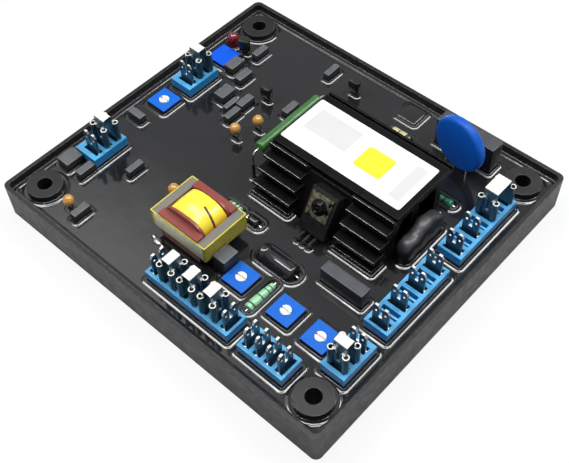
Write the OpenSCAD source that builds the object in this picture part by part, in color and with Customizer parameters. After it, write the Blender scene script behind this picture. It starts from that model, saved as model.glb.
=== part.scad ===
// Automatic voltage regulator: a potted circuit board in a shallow tray, with a finned
// heatsink, a small transformer, trimmers and rows of push-on terminals. Millimetres, +Z up.
// The origin is at the middle of the tray's underside. +X runs along the long side.

/* [Tray] */
// Length of the tray along X
tray_length = 150; // [146:1:170]
// Width of the tray along Y
tray_width = 135; // [133:1:150]
// Height of the tray's rim
tray_height = 14.4; // [13.9:0.1:18]
// Thickness of the rim wall
tray_wall = 1.5; // [1:0.1:2]
// Thickness of the tray's floor
tray_floor = 2.4; // [1.5:0.1:4]
// Radius of the tray's corners
tray_corner = 2.5; // [2:0.1:5]
// Height of the casting resin's surface
resin_level = 11; // [10.2:0.1:12]

/* [Fixing holes] */
// Distance from the tray's short sides to the fixing holes
hole_inset_x = 10.8; // [10:0.1:12]
// Distance from the tray's long sides to the fixing holes
hole_inset_y = 10.95; // [10:0.05:12]
// Diameter of the fixing holes
hole_d = 5.6; // [4:0.1:7]
// Diameter of the columns round the holes
column_d = 13.3; // [11:0.1:14]
// Height of the columns
column_height = 13.7; // [12.5:0.1:13.8]

/* [Circuit board] */
// Thickness of the board
board_thickness = 1.6; // [1:0.1:2]
// Height of the board's underside
board_level = 6.4; // [4:0.1:6.6]
// Gap between the board's edge and the tray's wall
board_gap = 1.2; // [0.8:0.1:2]
// Diameter of the pillars that carry the board
pillar_d = 6; // [4:0.5:9]

/* [Heatsink] */
// Length of the heatsink along X
sink_length = 55; // [50:0.5:56]
// Height of the heatsink's top face
sink_top = 29.5; // [28:0.1:34]
// Depth of the flat top between its two grooves
sink_top_depth = 28.9; // [26:0.1:30]
// Thickness of the top
sink_top_thickness = 2.7; // [2.4:0.1:3.2]
// Width of the lip outside each groove
sink_lip = 0.9; // [0.7:0.1:1.2]
// Width of each groove
sink_groove = 1.1; // [0.8:0.1:1.5]
// Thickness of the sloping wall
sink_wall = 3; // [2:0.1:4]
// Thickness of the fins
fin_thickness = 1.3; // [1:0.1:1.6]
// How far the lowest fin stands in front of the top's edge
fin_reach = 12.3; // [11:0.1:13]
// Width of the bay cut in the fins for the transistor
bay_width = 20; // [18:0.5:24]
// Size of the plain label along X
label_length = 52.2; // [40:0.1:54]
// Size of the plain label along Y
label_width = 22.7; // [15:0.1:26]
// Thickness of the plain label
label_thickness = 0.2; // [0.1:0.05:0.4]
// Radius of the label's corners
label_corner = 0.8; // [0.4:0.1:2]

/* [Power transistor] */
// Width of the transistor's body
power_width = 11; // [10:0.1:13]
// Length of the transistor's body up the slope
power_length = 16.6; // [15:0.1:16.8]
// Thickness of the transistor's body
power_thickness = 5; // [4:0.1:5.2]
// Distance between the transistor's legs
power_leg_pitch = 2.54; // [2.4:0.01:2.7]
// Width of the spring plate over the transistor
clamp_width = 9; // [8:0.1:10]
// Thickness of the spring plate
clamp_thickness = 0.8; // [0.5:0.1:1]
// Diameter of the screw's shank
screw_d = 3; // [2.5:0.1:3.5]
// Diameter of the screw's head
screw_head_d = 6; // [5:0.1:7]
// Height of the screw's head
screw_head_height = 2.2; // [1.5:0.1:3]

/* [Transformer] */
// Length of the core along X
core_length = 25.2; // [24:0.1:26]
// Depth of the core along Y
core_depth = 19.3; // [18:0.1:20]
// Height of the stack of laminations
core_stack = 7.1; // [6:0.1:8]
// Height of the core's underside
core_level = 16.2; // [15.5:0.1:17]
// Width of the outer limbs and yokes
core_limb = 3.2; // [2.8:0.1:3.6]
// Thickness of the tape round the core
band_thickness = 0.4; // [0.2:0.1:0.8]
// How far the winding bulges above and below the core
winding_bulge = 3.7; // [2:0.1:3.8]
// Thickness of the bobbin's walls and flanges
bobbin_wall = 0.9; // [0.6:0.1:1.2]

/* [Terminal blocks] */
// Distance between neighbouring cells
cell_pitch = 4.67; // [4.4:0.01:4.8]
// Width of a block across its cells
block_width = 9.6; // [9:0.1:10.2]
// Height of a block above the board
block_height = 7.8; // [6:0.1:9]
// Thickness of a block's side walls
block_wall = 1.3; // [1:0.1:1.6]
// Thickness of the ribs between cells
cell_rib = 1.5; // [1:0.1:2]
// Depth of the cells
cell_depth = 4.4; // [2:0.1:5.5]
// Extra length at each end of a block
block_end = 0.2; // [0.1:0.05:0.6]
// Width of a push-on tab
tab_width = 6.3; // [5.8:0.1:6.4]
// Thickness of a tab
tab_thickness = 0.8; // [0.5:0.1:1]
// Height of a tab above its block
tab_rise = 8.6; // [7:0.1:10]
// Width of the gap between the tab's two prongs
fork_gap = 1.2; // [0.8:0.1:1.6]
// Depth of the gap between the prongs
fork_depth = 5.6; // [3:0.1:7]
// Diameter of the hole in each prong
prong_hole_d = 1; // [0.6:0.1:1.3]
// Thickness of the metal of the links
link_thickness = 0.4; // [0.3:0.05:0.5]
// Outer radius of the rolled edges of the links
link_curl_radius = 1.15; // [0.9:0.05:1.25]
// Height of a link's bridge above the tabs' tips
link_rise = 3.5; // [2:0.1:5]
// Width of a link's bridge
link_width = 5.2; // [4:0.1:6]

/* [Trimmers] */
// Side of a trimmer's square body
trimmer_side = 9.5; // [8.5:0.1:10]
// Height of a trimmer's body above the board
trimmer_height = 4.8; // [4:0.1:6]
// Diameter of a trimmer's rotor
rotor_d = 3.9; // [3:0.1:5]
// Height of a trimmer's rotor
rotor_height = 2.8; // [2:0.1:3]
// Running clearance round a rotor
rotor_clearance = 0.08; // [0.05:0.01:0.1]
// Width of the screwdriver slot in a rotor
rotor_slot = 0.7; // [0.5:0.1:0.9]

/* [Components] */
// Height of the slim film capacitors above the board
slim_height = 6.5; // [5:0.1:8]
// Length of the slim film capacitors
slim_length = 7.2; // [6.5:0.1:7.4]
// Diameter of the varistor's disc
varistor_d = 23.6; // [20:0.1:24]
// Thickness of the varistor's disc
varistor_thickness = 4.6; // [3.5:0.1:5]
// Height of the middle of the varistor
varistor_level = 24; // [23:0.1:26]
// Diameter of the raised green resistor
wirewound_d = 4.6; // [4:0.1:5]
// Length of the raised green resistor's body
wirewound_length = 32.3; // [28:0.1:33]
// Height of the raised green resistor's axis
wirewound_level = 23.7; // [21:0.1:25]
// Diameter of the indicator lamp
lamp_d = 5; // [4.5:0.1:5.5]
// Height of the indicator lamp above the board
lamp_height = 8.6; // [7:0.1:10]
// Diameter of the tantalum beads
bead_d = 4.9; // [4:0.1:5.2]
// Diameter of ordinary component legs
leg_d = 0.7; // [0.5:0.05:0.9]

/* [Hidden] */

// One overrun for every cut
cut = 1;
round_steps = 32;
board_top = board_level + board_thickness;
block_top = board_top + block_height;
tab_tip = block_top + tab_rise;
hole_spacing_x = tray_length - 2 * hole_inset_x;
hole_spacing_y = tray_width - 2 * hole_inset_y;
inner_length = tray_length - 2 * tray_wall;
inner_width = tray_width - 2 * tray_wall;

// Heatsink places, worked out from its own sizes
sink_end_x = 48.5;
sink_x = sink_end_x - sink_length;
sink_front = 3;
sink_back = sink_front + sink_top_depth;
sink_underside = sink_top - sink_top_thickness;
sink_slope = 60;
wall_setback_share = 0.037;
wall_top_y = sink_front + sink_top_depth * wall_setback_share;
sink_rise = sink_top - resin_level;
wall_foot_y = wall_top_y - sink_rise / tan(sink_slope);
bay_middle = sink_x + sink_length / 2;
rear_leg_share = 0.745;
rear_leg_y = sink_front + sink_top_depth * rear_leg_share;
web_y_share = 0.29;
web_y = sink_front + sink_top_depth * web_y_share;
// Each fin's height above the resin and its reach, as shares of the rise and the reach
fin_level_shares = [0.725, 0.50, 0.25, 0.03];
fin_reach_shares = [0.43, 0.69, 0.93, 1];
// Power transistor, measured up the slope from its fixing hole
power_offset = 1.7;
power_x = bay_middle + power_offset;
power_hole_drop_share = 0.481;
power_hole_z = sink_top - sink_rise * power_hole_drop_share;
power_hole_y = wall_top_y - (sink_top - power_hole_z) / tan(sink_slope);
power_above_share = 0.35;
screw_clearance = 0.1;
screw_bite_share = 0.7;
screw_bite = sink_wall * screw_bite_share;

// Transformer places
core_x = -19.6;
core_y = -43.7;
core_mid_x = core_x + core_length / 2;
core_mid_y = core_y + core_depth / 2;
core_mid_z = core_level + core_stack / 2;
window_length = core_length - 2 * core_limb;
window_depth = core_depth - 2 * core_limb;
centre_limb = 2 * core_limb;
winding_power = 2.5;
winding_clearance = 0.1;
transformer_pins = 5;
rail_level_share = 0.55;
rail_level = board_top + (core_level - board_top) * rail_level_share;
cover_thickness = bobbin_wall;

// Terminal blocks: [first tab along the run, tabs' line across it, extra length before the
// first cell, extra length after the last, extra width outside the tabs]
front_run = [-4.6, -55, 0, 0, 0];
small_run = [37.6, -55.1, 0, 0, 0];
right_lower_run = [-44.4, 63.7, 0.6, 1, 0];
right_middle_run = [-23.9, 63.7, 0, 0, 0];
right_upper_run = [15, 63.8, 0, 0, 0];
left_lower_run = [-34.9, -61.9, 1, 0.1, 1];
left_upper_run = [13.4, -61.9, 1, 0.1, 1];
front_turn = 0;
side_turn = 90;
front_cell_count = 8;
small_cell_count = 4;
short_cell_count = 3;
long_cell_count = 7;
every_cell_8 = [0, 1, 2, 3, 4, 5, 6, 7];
every_cell_4 = [0, 1, 2, 3];
every_cell_3 = [0, 1, 2];
second_cells = [0, 2, 4, 6];

// Trimmers: [x, y]
trimmer_left_at = [-63.5, 1.8];
trimmer_one_at = [16.9, -38.9];
trimmer_two_at = [36.9, -38.9];
trimmer_three_at = [51.8, -39];
blue_capacitor_at = [-63.6, 35];

// Slim film capacitors: [x, y, thickness]
slim_places = [[-24, 55.6, 2.7], [-53.1, 45.4, 3.1], [-48.7, 30.9, 3.5], [-38.2, 21, 3.4],
    [-41.4, 16.4, 2.4], [-37.5, 13, 2.9], [-22.6, 29.6, 3.1], [-45.5, -29.8, 2.7],
    [-58.5, -42.3, 3.2], [-45, -56.1, 3.1]];
// Wide film capacitors: [x, y, size along X, size along Y, height above the board]
wide_places = [[-47.5, 19.2, 5, 7.2, 6.8], [-65.1, -11, 7.3, 3.2, 6.5],
    [-66.9, -42.4, 6.2, 7.4, 6.8], [-56, 33.4, 4.6, 7.3, 6.6]];
// Larger film capacitors: [x, y, size along X, size along Y, height above the board]
large_box = [45.65, -19.75, 17.7, 4.7, 10.5];
square_box = [9, -37.8, 5.5, 7, 9.7];
rim_box = [40.2, 56, 24.4, 6.2, 15.5];
bridge_box = [13.3, 59, 9, 9, 3.9];

// Lying axial pieces: [x, y, body diameter, body length, height of the axis]
front_resistor = [26.3, -39.5, 3.8, 12.6, 10.7];
middle_resistor = [-6.3, -18, 3.2, 5.8, 10.9];
diode_body = [3.1, -18.4, 4.2, 5.2, 10.9];
rear_resistor = [16, 47.2, 4.2, 9.5, 11.4];
right_resistor = [44.6, 33, 3.4, 12.4, 10.9];
axial_body = [22, -26.3, 7, 15.6, 11.8];

lamp_at = [-66.8, 43.8];
bead_places = [[-25.5, 14.7], [-29.1, 6.2], [-49.4, -57], [-25.1, -29.1]];
bead_level = 16.6;
bead_leg_gap = 2.5;
can_places = [[-59, 42.6], [-34.1, 28.6], [-10.6, 53.3]];
can_turns = [20, 0, 0];
can_d = 4.7;
can_height = 4.8;
can_top = 18.3;
varistor_at = [41.9, 47.5];
varistor_turn = 7;
varistor_leg_gap = 10;
dipped_length = 22.5;
dipped_thickness = 5.8;
dipped_height = 14.4;
dipped_gap = 0.6;
dipped_at = [sink_end_x + dipped_gap + dipped_thickness / 2, 12.2];
wirewound_gap = 2.1;
wirewound_x = sink_x - wirewound_gap - wirewound_d / 2;
wirewound_start = 0.2;
wirewound_leg_out = 3.4;

// Shared shapes

// A flat rounded rectangle with its middle at the origin
module rounded_flat(size_x, size_y, corner) {
    square([size_x - 2 * corner, size_y], center = true);
    square([size_x, size_y - 2 * corner], center = true);
    for (side_x = [-1, 1], side_y = [-1, 1])
        translate([side_x * (size_x / 2 - corner), side_y * (size_y / 2 - corner)])
            circle(r = corner, $fn = round_steps);
}

// An upright box that stands on the board with its middle at a place
module board_box(place) {
    translate([place[0] - place[2] / 2, place[1] - place[3] / 2, board_top])
        cube([place[2], place[3], place[4]]);
}

// A leg from the board up to a level
module leg(x, y, top) {
    translate([x, y, board_top])
        cylinder(d = leg_d, h = top - board_top, $fn = round_steps);
}

// A cylinder along X with its middle at the origin
module lying(diameter, length) {
    rotate([0, 90, 0])
        cylinder(d = diameter, h = length, center = true, $fn = round_steps);
}

// Places its children on one of the fixing columns' four middles
module at_columns() {
    for (side_x = [-1, 1], side_y = [-1, 1])
        translate([side_x * hole_spacing_x / 2, side_y * hole_spacing_y / 2, 0])
            children();
}

// Places its children on the middles of the board's pillars
pillar_share = 0.27;
module at_pillars() {
    for (place = [[0, 0], [1, 0], [-1, 0], [0, 1], [0, -1]])
        translate([place[0] * tray_length * pillar_share,
            place[1] * tray_width * pillar_share, 0])
            children();
}

// Tray, board and resin

module tray() {
    color("#3d3d3c")
    union() {
        difference() {
            linear_extrude(tray_height)
                rounded_flat(tray_length, tray_width, tray_corner);
            translate([0, 0, tray_floor])
                linear_extrude(tray_height)
                    rounded_flat(inner_length, inner_width, tray_corner - tray_wall / 2);
            at_columns()
                translate([0, 0, -cut])
                    cylinder(d = hole_d, h = tray_height + cut, $fn = round_steps);
        }
        at_columns()
            translate([0, 0, tray_floor])
                difference() {
                    cylinder(d = column_d, h = column_height - tray_floor, $fn = 48);
                    translate([0, 0, -tray_floor])
                        cylinder(d = hole_d, h = tray_height + cut, $fn = round_steps);
                }
        at_pillars()
            translate([0, 0, tray_floor])
                cylinder(d = pillar_d, h = board_level - tray_floor, $fn = round_steps);
    }
}

column_gap = 0.8;
module board_shape() {
    translate([0, 0, board_level])
        linear_extrude(board_thickness)
            difference() {
                square([inner_length - 2 * board_gap, inner_width - 2 * board_gap],
                    center = true);
                for (side_x = [-1, 1], side_y = [-1, 1])
                    translate([side_x * hole_spacing_x / 2, side_y * hole_spacing_y / 2])
                        circle(d = column_d + 2 * column_gap, $fn = 48);
            }
}

module circuit_board() {
    color("#2f5a3a")
    board_shape();
}

module casting_resin() {
    color("#36373a")
    difference() {
        translate([0, 0, tray_floor])
            linear_extrude(resin_level - tray_floor)
                rounded_flat(inner_length, inner_width, tray_corner - tray_wall / 2);
        at_columns()
            cylinder(d = column_d, h = tray_height, $fn = 48);
        at_pillars()
            cylinder(d = pillar_d, h = board_level, $fn = round_steps);
        board_shape();
        at_run(front_run, front_turn)
            block_outline(front_run, front_cell_count);
        at_run(small_run, front_turn)
            block_outline(small_run, small_cell_count);
        for (run = [right_lower_run, left_lower_run, left_upper_run])
            at_run(run, side_turn)
                block_outline(run, short_cell_count);
        for (run = [right_middle_run, right_upper_run])
            at_run(run, side_turn)
                block_outline(run, long_cell_count);
        for (place = [trimmer_left_at, trimmer_one_at, trimmer_two_at, trimmer_three_at,
                blue_capacitor_at])
            board_box([place[0], place[1], trimmer_side, trimmer_side, trimmer_height]);
        for (place = slim_places)
            board_box(slim_box(place));
        for (place = wide_places)
            board_box(place);
        for (place = [large_box, square_box, rim_box, bridge_box])
            board_box(place);
        axial_piece(front_resistor, side_turn);
        for (place = [middle_resistor, diode_body, rear_resistor, right_resistor,
                axial_body])
            axial_piece(place, front_turn);
        sink_feet();
        power_body();
        power_legs();
        transformer_legs();
        lamp_shape();
        varistor_legs();
        bead_legs();
        can_legs();
        wirewound_legs();
        dipped_shape();
    }
}

// Heatsink

// The wall's outer face at a height
function wall_y(z) = wall_top_y - (sink_top - z) / tan(sink_slope);
// The sloping wall's thickness measured level
wall_level = sink_wall / sin(sink_slope);

module sink_profile() {
    foot_z = resin_level;
    wall_end_z = sink_top - sink_top_thickness / 2;
    union() {
        difference() {
            translate([sink_front - sink_groove - sink_lip, sink_underside])
                square([sink_top_depth + 2 * (sink_groove + sink_lip), sink_top_thickness]);
            for (edge = [sink_front - sink_groove, sink_back])
                translate([edge, sink_top - sink_top_thickness * 2 / 3])
                    square([sink_groove, sink_top_thickness]);
        }
        polygon([[wall_foot_y, foot_z], [wall_foot_y, board_top],
            [wall_foot_y + wall_level, board_top], [wall_foot_y + wall_level, foot_z],
            [wall_y(wall_end_z) + wall_level, wall_end_z], [wall_y(wall_end_z), wall_end_z]]);
        translate([web_y, board_top])
            square([sink_wall, sink_underside + sink_top_thickness / 2 - board_top]);
        translate([rear_leg_y, board_top])
            square([sink_wall, sink_underside + sink_top_thickness / 2 - board_top]);
    }
}

// The fins, each rooted half way into the sloping wall
module fin_profile() {
    for (row = [0:3]) {
        level = resin_level + sink_rise * fin_level_shares[row];
        tip_y = sink_front - fin_reach * fin_reach_shares[row];
        translate([tip_y, level])
            square([wall_y(level) - tip_y + wall_level / 2, fin_thickness]);
    }
}

// Turns a profile drawn in Y and Z into a bar along X
module along_x(length) {
    rotate([90, 0, 90])
        linear_extrude(length)
            children();
}

module at_slope() {
    translate([power_x, power_hole_y, power_hole_z])
        rotate([sink_slope, 0, 0])
            children();
}

module heatsink() {
    color("#1c1c1d")
    difference() {
        union() {
            translate([sink_x, 0, 0])
                along_x(sink_length)
                    sink_profile();
            // A run of fins on each side of the transistor's bay
            for (start = [sink_x, bay_middle + bay_width / 2])
                translate([start, 0, 0])
                    along_x((sink_length - bay_width) / 2)
                        fin_profile();
        }
        // The lip is cut away over the bay
        translate([bay_middle - bay_width / 2, sink_front - 2 * fin_reach, sink_underside])
            cube([bay_width, 2 * fin_reach, sink_top]);
        at_slope()
            translate([0, 0, -screw_bite])
                cylinder(d = screw_d + 2 * screw_clearance, h = sink_length,
                    $fn = round_steps);
    }
}

// Where the heatsink's legs stand in the resin
module sink_feet() {
    for (leg_y = [[wall_foot_y, wall_level], [web_y, sink_wall], [rear_leg_y, sink_wall]])
        translate([sink_x, leg_y[0], board_top])
            cube([sink_length, leg_y[1], sink_top - board_top]);
}

module heatsink_label() {
    color("#f4f4f2")
    translate([sink_x + sink_length / 2 - label_corner, sink_front + sink_top_depth / 2, sink_top])
        linear_extrude(label_thickness)
            rounded_flat(label_length, label_width, label_corner);
}

// Power transistor

module power_body() {
    at_slope()
        translate([-power_width / 2, -power_length * (1 - power_above_share), 0])
            cube([power_width, power_length, power_thickness]);
}

power_leg_offset_share = 0.62;
power_leg_width = 0.9;
power_leg_out = 5.6;
power_leg_z = power_hole_z - power_length * (1 - power_above_share) * sin(sink_slope)
    + power_thickness * power_leg_offset_share * cos(sink_slope);
power_leg_y = power_hole_y - power_length * (1 - power_above_share) * cos(sink_slope)
    - power_thickness * power_leg_offset_share * sin(sink_slope);
module power_legs() {
    for (step = [-1:1])
        translate([power_x + step * power_leg_pitch - power_leg_width / 2, power_leg_y, 0]) {
            translate([0, -power_leg_out, power_leg_z - leg_d / 2])
                cube([power_leg_width, power_leg_out + power_thickness / 4, leg_d]);
            translate([0, -power_leg_out, board_top])
                cube([power_leg_width, leg_d, power_leg_z + leg_d / 2 - board_top]);
        }
}

module power_transistor() {
    color("#232325")
    difference() {
        union() {
            power_body();
            power_legs();
        }
        at_slope()
            translate([0, 0, -cut])
                cylinder(d = screw_d + 2 * screw_clearance, h = power_thickness + 2 * cut,
                    $fn = round_steps);
    }
}

module spring_clamp() {
    color("#9a9a96")
    at_slope()
        translate([0, 0, power_thickness])
            difference() {
                translate([-clamp_width / 2, -clamp_width / 2, 0])
                    cube([clamp_width, clamp_width, clamp_thickness]);
                translate([0, 0, -cut])
                    cylinder(d = screw_d + 2 * screw_clearance, h = clamp_thickness + 2 * cut,
                        $fn = round_steps);
            }
}

screw_drive_share = 0.45;
module clamp_screw() {
    color("#7d7d7b")
    at_slope()
        difference() {
            union() {
                translate([0, 0, -screw_bite])
                    cylinder(d = screw_d, h = screw_bite + power_thickness + clamp_thickness,
                        $fn = round_steps);
                translate([0, 0, power_thickness + clamp_thickness])
                    cylinder(d = screw_head_d, h = screw_head_height, $fn = round_steps);
            }
            translate([0, 0, power_thickness + clamp_thickness + screw_head_height])
                for (turn = [0, 90])
                    rotate(turn)
                        cube([screw_head_d * screw_drive_share * 1.6, screw_clearance * 8,
                            screw_head_height * screw_drive_share * 2], center = true);
        }
}

// Transformer

module transformer_core() {
    color("#8d8579")
    translate([core_mid_x, core_mid_y, core_level])
        linear_extrude(core_stack)
            difference() {
                square([core_length, core_depth], center = true);
                for (side = [-1, 1])
                    translate([side * (window_length + centre_limb) / 4, 0])
                        square([(window_length - centre_limb) / 2, window_depth],
                            center = true);
            }
}

module transformer_tape() {
    color("#c4b63c")
    translate([core_mid_x, core_mid_y, core_level])
        linear_extrude(core_stack)
            difference() {
                rounded_flat(core_length + 2 * band_thickness, core_depth + 2 * band_thickness,
                    band_thickness);
                square([core_length, core_depth], center = true);
            }
}

// Outline of the winding seen along Y
winding_half_x = window_length / 2 - winding_clearance;
winding_half_z = core_stack / 2 + winding_bulge;
winding_steps = 48;
full_turn = 360;
function arch(turn, half_x, half_z, power) = [
    half_x * sign(cos(turn)) * pow(abs(cos(turn)), 2 / power),
    half_z * sign(sin(turn)) * pow(abs(sin(turn)), 2 / power)];
module arch_outline(half_x, half_z, power) {
    polygon([for (step = [0:winding_steps - 1])
        arch(full_turn * step / winding_steps, half_x, half_z, power)]);
}

// A bar along Y with its middle on the core's middle
module along_core(length) {
    translate([core_mid_x, core_mid_y + length / 2, core_mid_z])
        rotate([90, 0, 0])
            linear_extrude(length)
                children();
}

module centre_limb_hole() {
    square([centre_limb, core_stack], center = true);
}

module transformer_winding() {
    color("#f5e84e")
    along_core(window_depth - 2 * bobbin_wall)
        difference() {
            arch_outline(winding_half_x, winding_half_z, winding_power);
            square([centre_limb + 2 * bobbin_wall, core_stack + 2 * bobbin_wall],
                center = true);
        }
}

flange_top_share = 0.97;
flange_half_z = winding_half_z * flange_top_share;
flange_power = 3.2;
module transformer_bobbin() {
    color("#b0564c")
    union() {
        along_core(window_depth)
            difference() {
                square([centre_limb + 2 * bobbin_wall, core_stack + 2 * bobbin_wall],
                    center = true);
                centre_limb_hole();
            }
        for (side = [-1, 1])
            translate([0, side * (window_depth - bobbin_wall) / 2, 0])
                along_core(bobbin_wall)
                    difference() {
                        arch_outline(winding_half_x, flange_half_z, flange_power);
                        centre_limb_hole();
                    }
        for (side = [-1, 1])
            translate([core_mid_x, core_mid_y + side * (window_depth + core_limb) / 2, 0]) {
                translate([-winding_half_x, -core_limb / 2, core_level + core_stack])
                    cube([2 * winding_half_x, core_limb, cover_thickness]);
                translate([-winding_half_x, -core_limb / 2, rail_level])
                    cube([2 * winding_half_x, core_limb, core_level - rail_level]);
            }
        transformer_legs();
    }
}

module transformer_legs() {
    for (side = [-1, 1], pin = [0:transformer_pins - 1])
        leg(core_mid_x + (pin - (transformer_pins - 1) / 2) * winding_half_x * 2
            / transformer_pins, core_mid_y + side * (window_depth + core_limb) / 2,
            rail_level);
}

// Terminal blocks, tabs and links

module at_run(run, turn) {
    translate([turn == 0 ? run[0] : run[1], turn == 0 ? run[1] : run[0], board_top])
        rotate(turn)
            children();
}

function cell_x(cell) = cell * cell_pitch;

module block_outline(run, cells) {
    before = cell_pitch / 2 + block_end + run[2];
    translate([-before, -block_width / 2, 0])
        cube([before + (cells - 0.5) * cell_pitch + block_end + run[3],
            block_width + run[4], block_height]);
}

// A row of cells, and a slot for each tab's root
module block(run, turn, cells, tab_cells) {
    color("#4a9bd6")
    at_run(run, turn)
        difference() {
            block_outline(run, cells);
            for (cell = [0:cells - 1])
                translate([cell_x(cell) - (cell_pitch - cell_rib) / 2,
                    -block_width / 2 + block_wall, block_height - cell_depth])
                    cube([cell_pitch - cell_rib, block_width - 2 * block_wall, block_height]);
            for (cell = tab_cells)
                translate([cell_x(cell) - tab_thickness / 2, -tab_width / 2, -cut])
                    cube([tab_thickness, tab_width, block_height + 2 * cut]);
        }
}

tip_width_share = 0.45;
tip_height_share = 0.5;
module tab_profile() {
    prong = (tab_width - fork_gap) / 2;
    full = block_height + tab_rise;
    bevel_z = prong * tip_height_share;
    bevel_y = prong * (1 - tip_width_share) / 2;
    difference() {
        union() {
            translate([-tab_width / 2, 0])
                square([tab_width, full - fork_depth]);
            for (side = [-1, 1])
                translate([side * (fork_gap + prong) / 2, 0])
                    polygon([[-prong / 2, full - fork_depth - bevel_z],
                        [prong / 2, full - fork_depth - bevel_z],
                        [prong / 2, full - bevel_z], [prong / 2 - bevel_y, full],
                        [-prong / 2 + bevel_y, full], [-prong / 2, full - bevel_z]]);
        }
        for (side = [-1, 1])
            translate([side * (fork_gap + prong) / 2, full - fork_depth / 2])
                circle(d = prong_hole_d, $fn = round_steps);
    }
}

module tabs(run, turn, tab_cells) {
    color("#c9c9c4")
    at_run(run, turn)
        for (cell = tab_cells)
            translate([cell_x(cell) - tab_thickness / 2, 0, 0])
                along_x(tab_thickness)
                    tab_profile();
}

link_lift = 0.5;
// The rolled receptacle seen from above, with its flat back towards +X
module receptacle_plan() {
    back = tab_thickness / 2;
    roll_y = tab_width / 2 - link_thickness / 2;
    difference() {
        union() {
            translate([back, -roll_y])
                square([link_thickness, 2 * roll_y]);
            for (side = [-1, 1])
                translate([back + link_thickness - link_curl_radius, side * roll_y])
                    difference() {
                        circle(r = link_curl_radius, $fn = round_steps);
                        circle(r = link_curl_radius - link_thickness, $fn = round_steps);
                    }
        }
        square([tab_thickness, tab_width], center = true);
    }
}

// A link between the tabs in two cells
module link(run, turn, first, second) {
    reach = cell_x(second) - cell_x(first);
    span = reach - tab_thickness;
    top = tab_rise + link_rise;
    bend = 2 * link_thickness;
    at_run(run, turn)
        translate([cell_x(first), 0, block_height]) {
            for (side = [0, 1])
                translate([side * reach, 0, link_lift])
                    mirror([side, 0, 0])
                        linear_extrude(tab_rise - link_lift)
                            receptacle_plan();
            translate([tab_thickness / 2, link_width / 2, 0])
                rotate([90, 0, 0])
                    linear_extrude(link_width)
                        difference() {
                            union() {
                                translate([0, link_lift])
                                    square([span, top - link_lift - bend]);
                                translate([bend, top - 2 * bend])
                                    square([span - 2 * bend, 2 * bend]);
                                for (x = [bend, span - bend])
                                    translate([x, top - bend])
                                        circle(r = bend, $fn = round_steps);
                            }
                            translate([link_thickness, 0])
                                square([span - 2 * link_thickness, top - link_thickness]);
                        }
        }
}

// Trimmers

module trimmer(place) {
    color("#2a7df0")
    difference() {
        board_box([place[0], place[1], trimmer_side, trimmer_side, trimmer_height]);
        translate([place[0], place[1], board_top + trimmer_height - rotor_height])
            cylinder(d = rotor_d + 2 * rotor_clearance, h = rotor_height + cut,
                $fn = round_steps);
    }
}

rotor_stand = 0.3;
rotor_slot_depth = 0.9;
module rotor(place) {
    color("#f2f2ef")
    translate([place[0], place[1],
        board_top + trimmer_height - rotor_height + rotor_clearance])
        difference() {
            cylinder(d = rotor_d, h = rotor_height - rotor_clearance + rotor_stand,
                $fn = round_steps);
            translate([-rotor_d, -rotor_slot / 2,
                rotor_height - rotor_clearance + rotor_stand - rotor_slot_depth])
                cube([rotor_d * 1.5, rotor_slot, rotor_slot_depth + cut]);
        }
}

// Components

function slim_box(place) = [place[0], place[1], place[2], slim_length, slim_height];

module blue_film_capacitor() {
    color("#1f6fe0")
    board_box([blue_capacitor_at[0], blue_capacitor_at[1], trimmer_side, trimmer_side,
        trimmer_height]);
}

lamp_flange = 0.4;
lamp_flange_height = 1;
module lamp_shape() {
    translate([lamp_at[0], lamp_at[1], board_top]) {
        cylinder(d = lamp_d, h = lamp_height - lamp_d / 2, $fn = 48);
        translate([0, 0, lamp_height - lamp_d / 2])
            sphere(d = lamp_d, $fn = 48);
        cylinder(d = lamp_d + 2 * lamp_flange, h = lamp_flange_height, $fn = 48);
    }
}

module indicator_lamp() {
    color("#9c2030")
    lamp_shape();
}

module varistor_legs() {
    for (side = [-1, 1])
        leg(varistor_at[0] + side * varistor_leg_gap / 2 * cos(varistor_turn),
            varistor_at[1] + side * varistor_leg_gap / 2 * sin(varistor_turn),
            varistor_level - varistor_d / 4);
}

module varistor() {
    color("#0a5db8")
    union() {
        translate([varistor_at[0], varistor_at[1], varistor_level])
            rotate([0, 0, varistor_turn])
                rotate([90, 0, 0])
                    rotate_extrude($fn = 64) {
                        translate([0, -varistor_thickness / 2])
                            square([(varistor_d - varistor_thickness) / 2,
                                varistor_thickness]);
                        translate([(varistor_d - varistor_thickness) / 2, 0])
                            intersection() {
                                circle(d = varistor_thickness, $fn = round_steps);
                                translate([0, -varistor_thickness])
                                    square([varistor_thickness, 2 * varistor_thickness]);
                            }
                    }
        varistor_legs();
    }
}

module wirewound_legs() {
    leg(wirewound_x, wirewound_start - wirewound_leg_out, wirewound_level + leg_d / 2);
    leg(wirewound_x, wirewound_start + wirewound_length + wirewound_leg_out,
        wirewound_level + leg_d / 2);
}

module wirewound_resistor() {
    color("#55924a")
    union() {
        translate([wirewound_x, wirewound_start + wirewound_length / 2, wirewound_level])
            rotate(90) {
                lying(wirewound_d, wirewound_length);
                lying(leg_d, wirewound_length + 2 * wirewound_leg_out);
            }
        wirewound_legs();
    }
}

// An axial piece lying along its run with a leg bent down at each end
axial_leg_out = 1.6;
module axial_piece(place, turn) {
    translate([place[0], place[1], place[4]])
        rotate(turn) {
            lying(place[2], place[3]);
            lying(leg_d, place[3] + 2 * axial_leg_out);
            for (side = [-1, 1])
                translate([side * (place[3] / 2 + axial_leg_out), 0, board_top - place[4]])
                    cylinder(d = leg_d, h = place[4] - board_top + leg_d / 2,
                        $fn = round_steps);
        }
}

module front_banded_resistor() {
    color("#a6e0b4")
    axial_piece(front_resistor, side_turn);
}

module middle_banded_resistor() {
    color("#8fc4a0")
    axial_piece(middle_resistor, front_turn);
}

module front_diode() {
    color("#1b1b1d")
    axial_piece(diode_body, front_turn);
}

module rear_banded_resistor() {
    color("#cfc79a")
    axial_piece(rear_resistor, front_turn);
}

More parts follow.
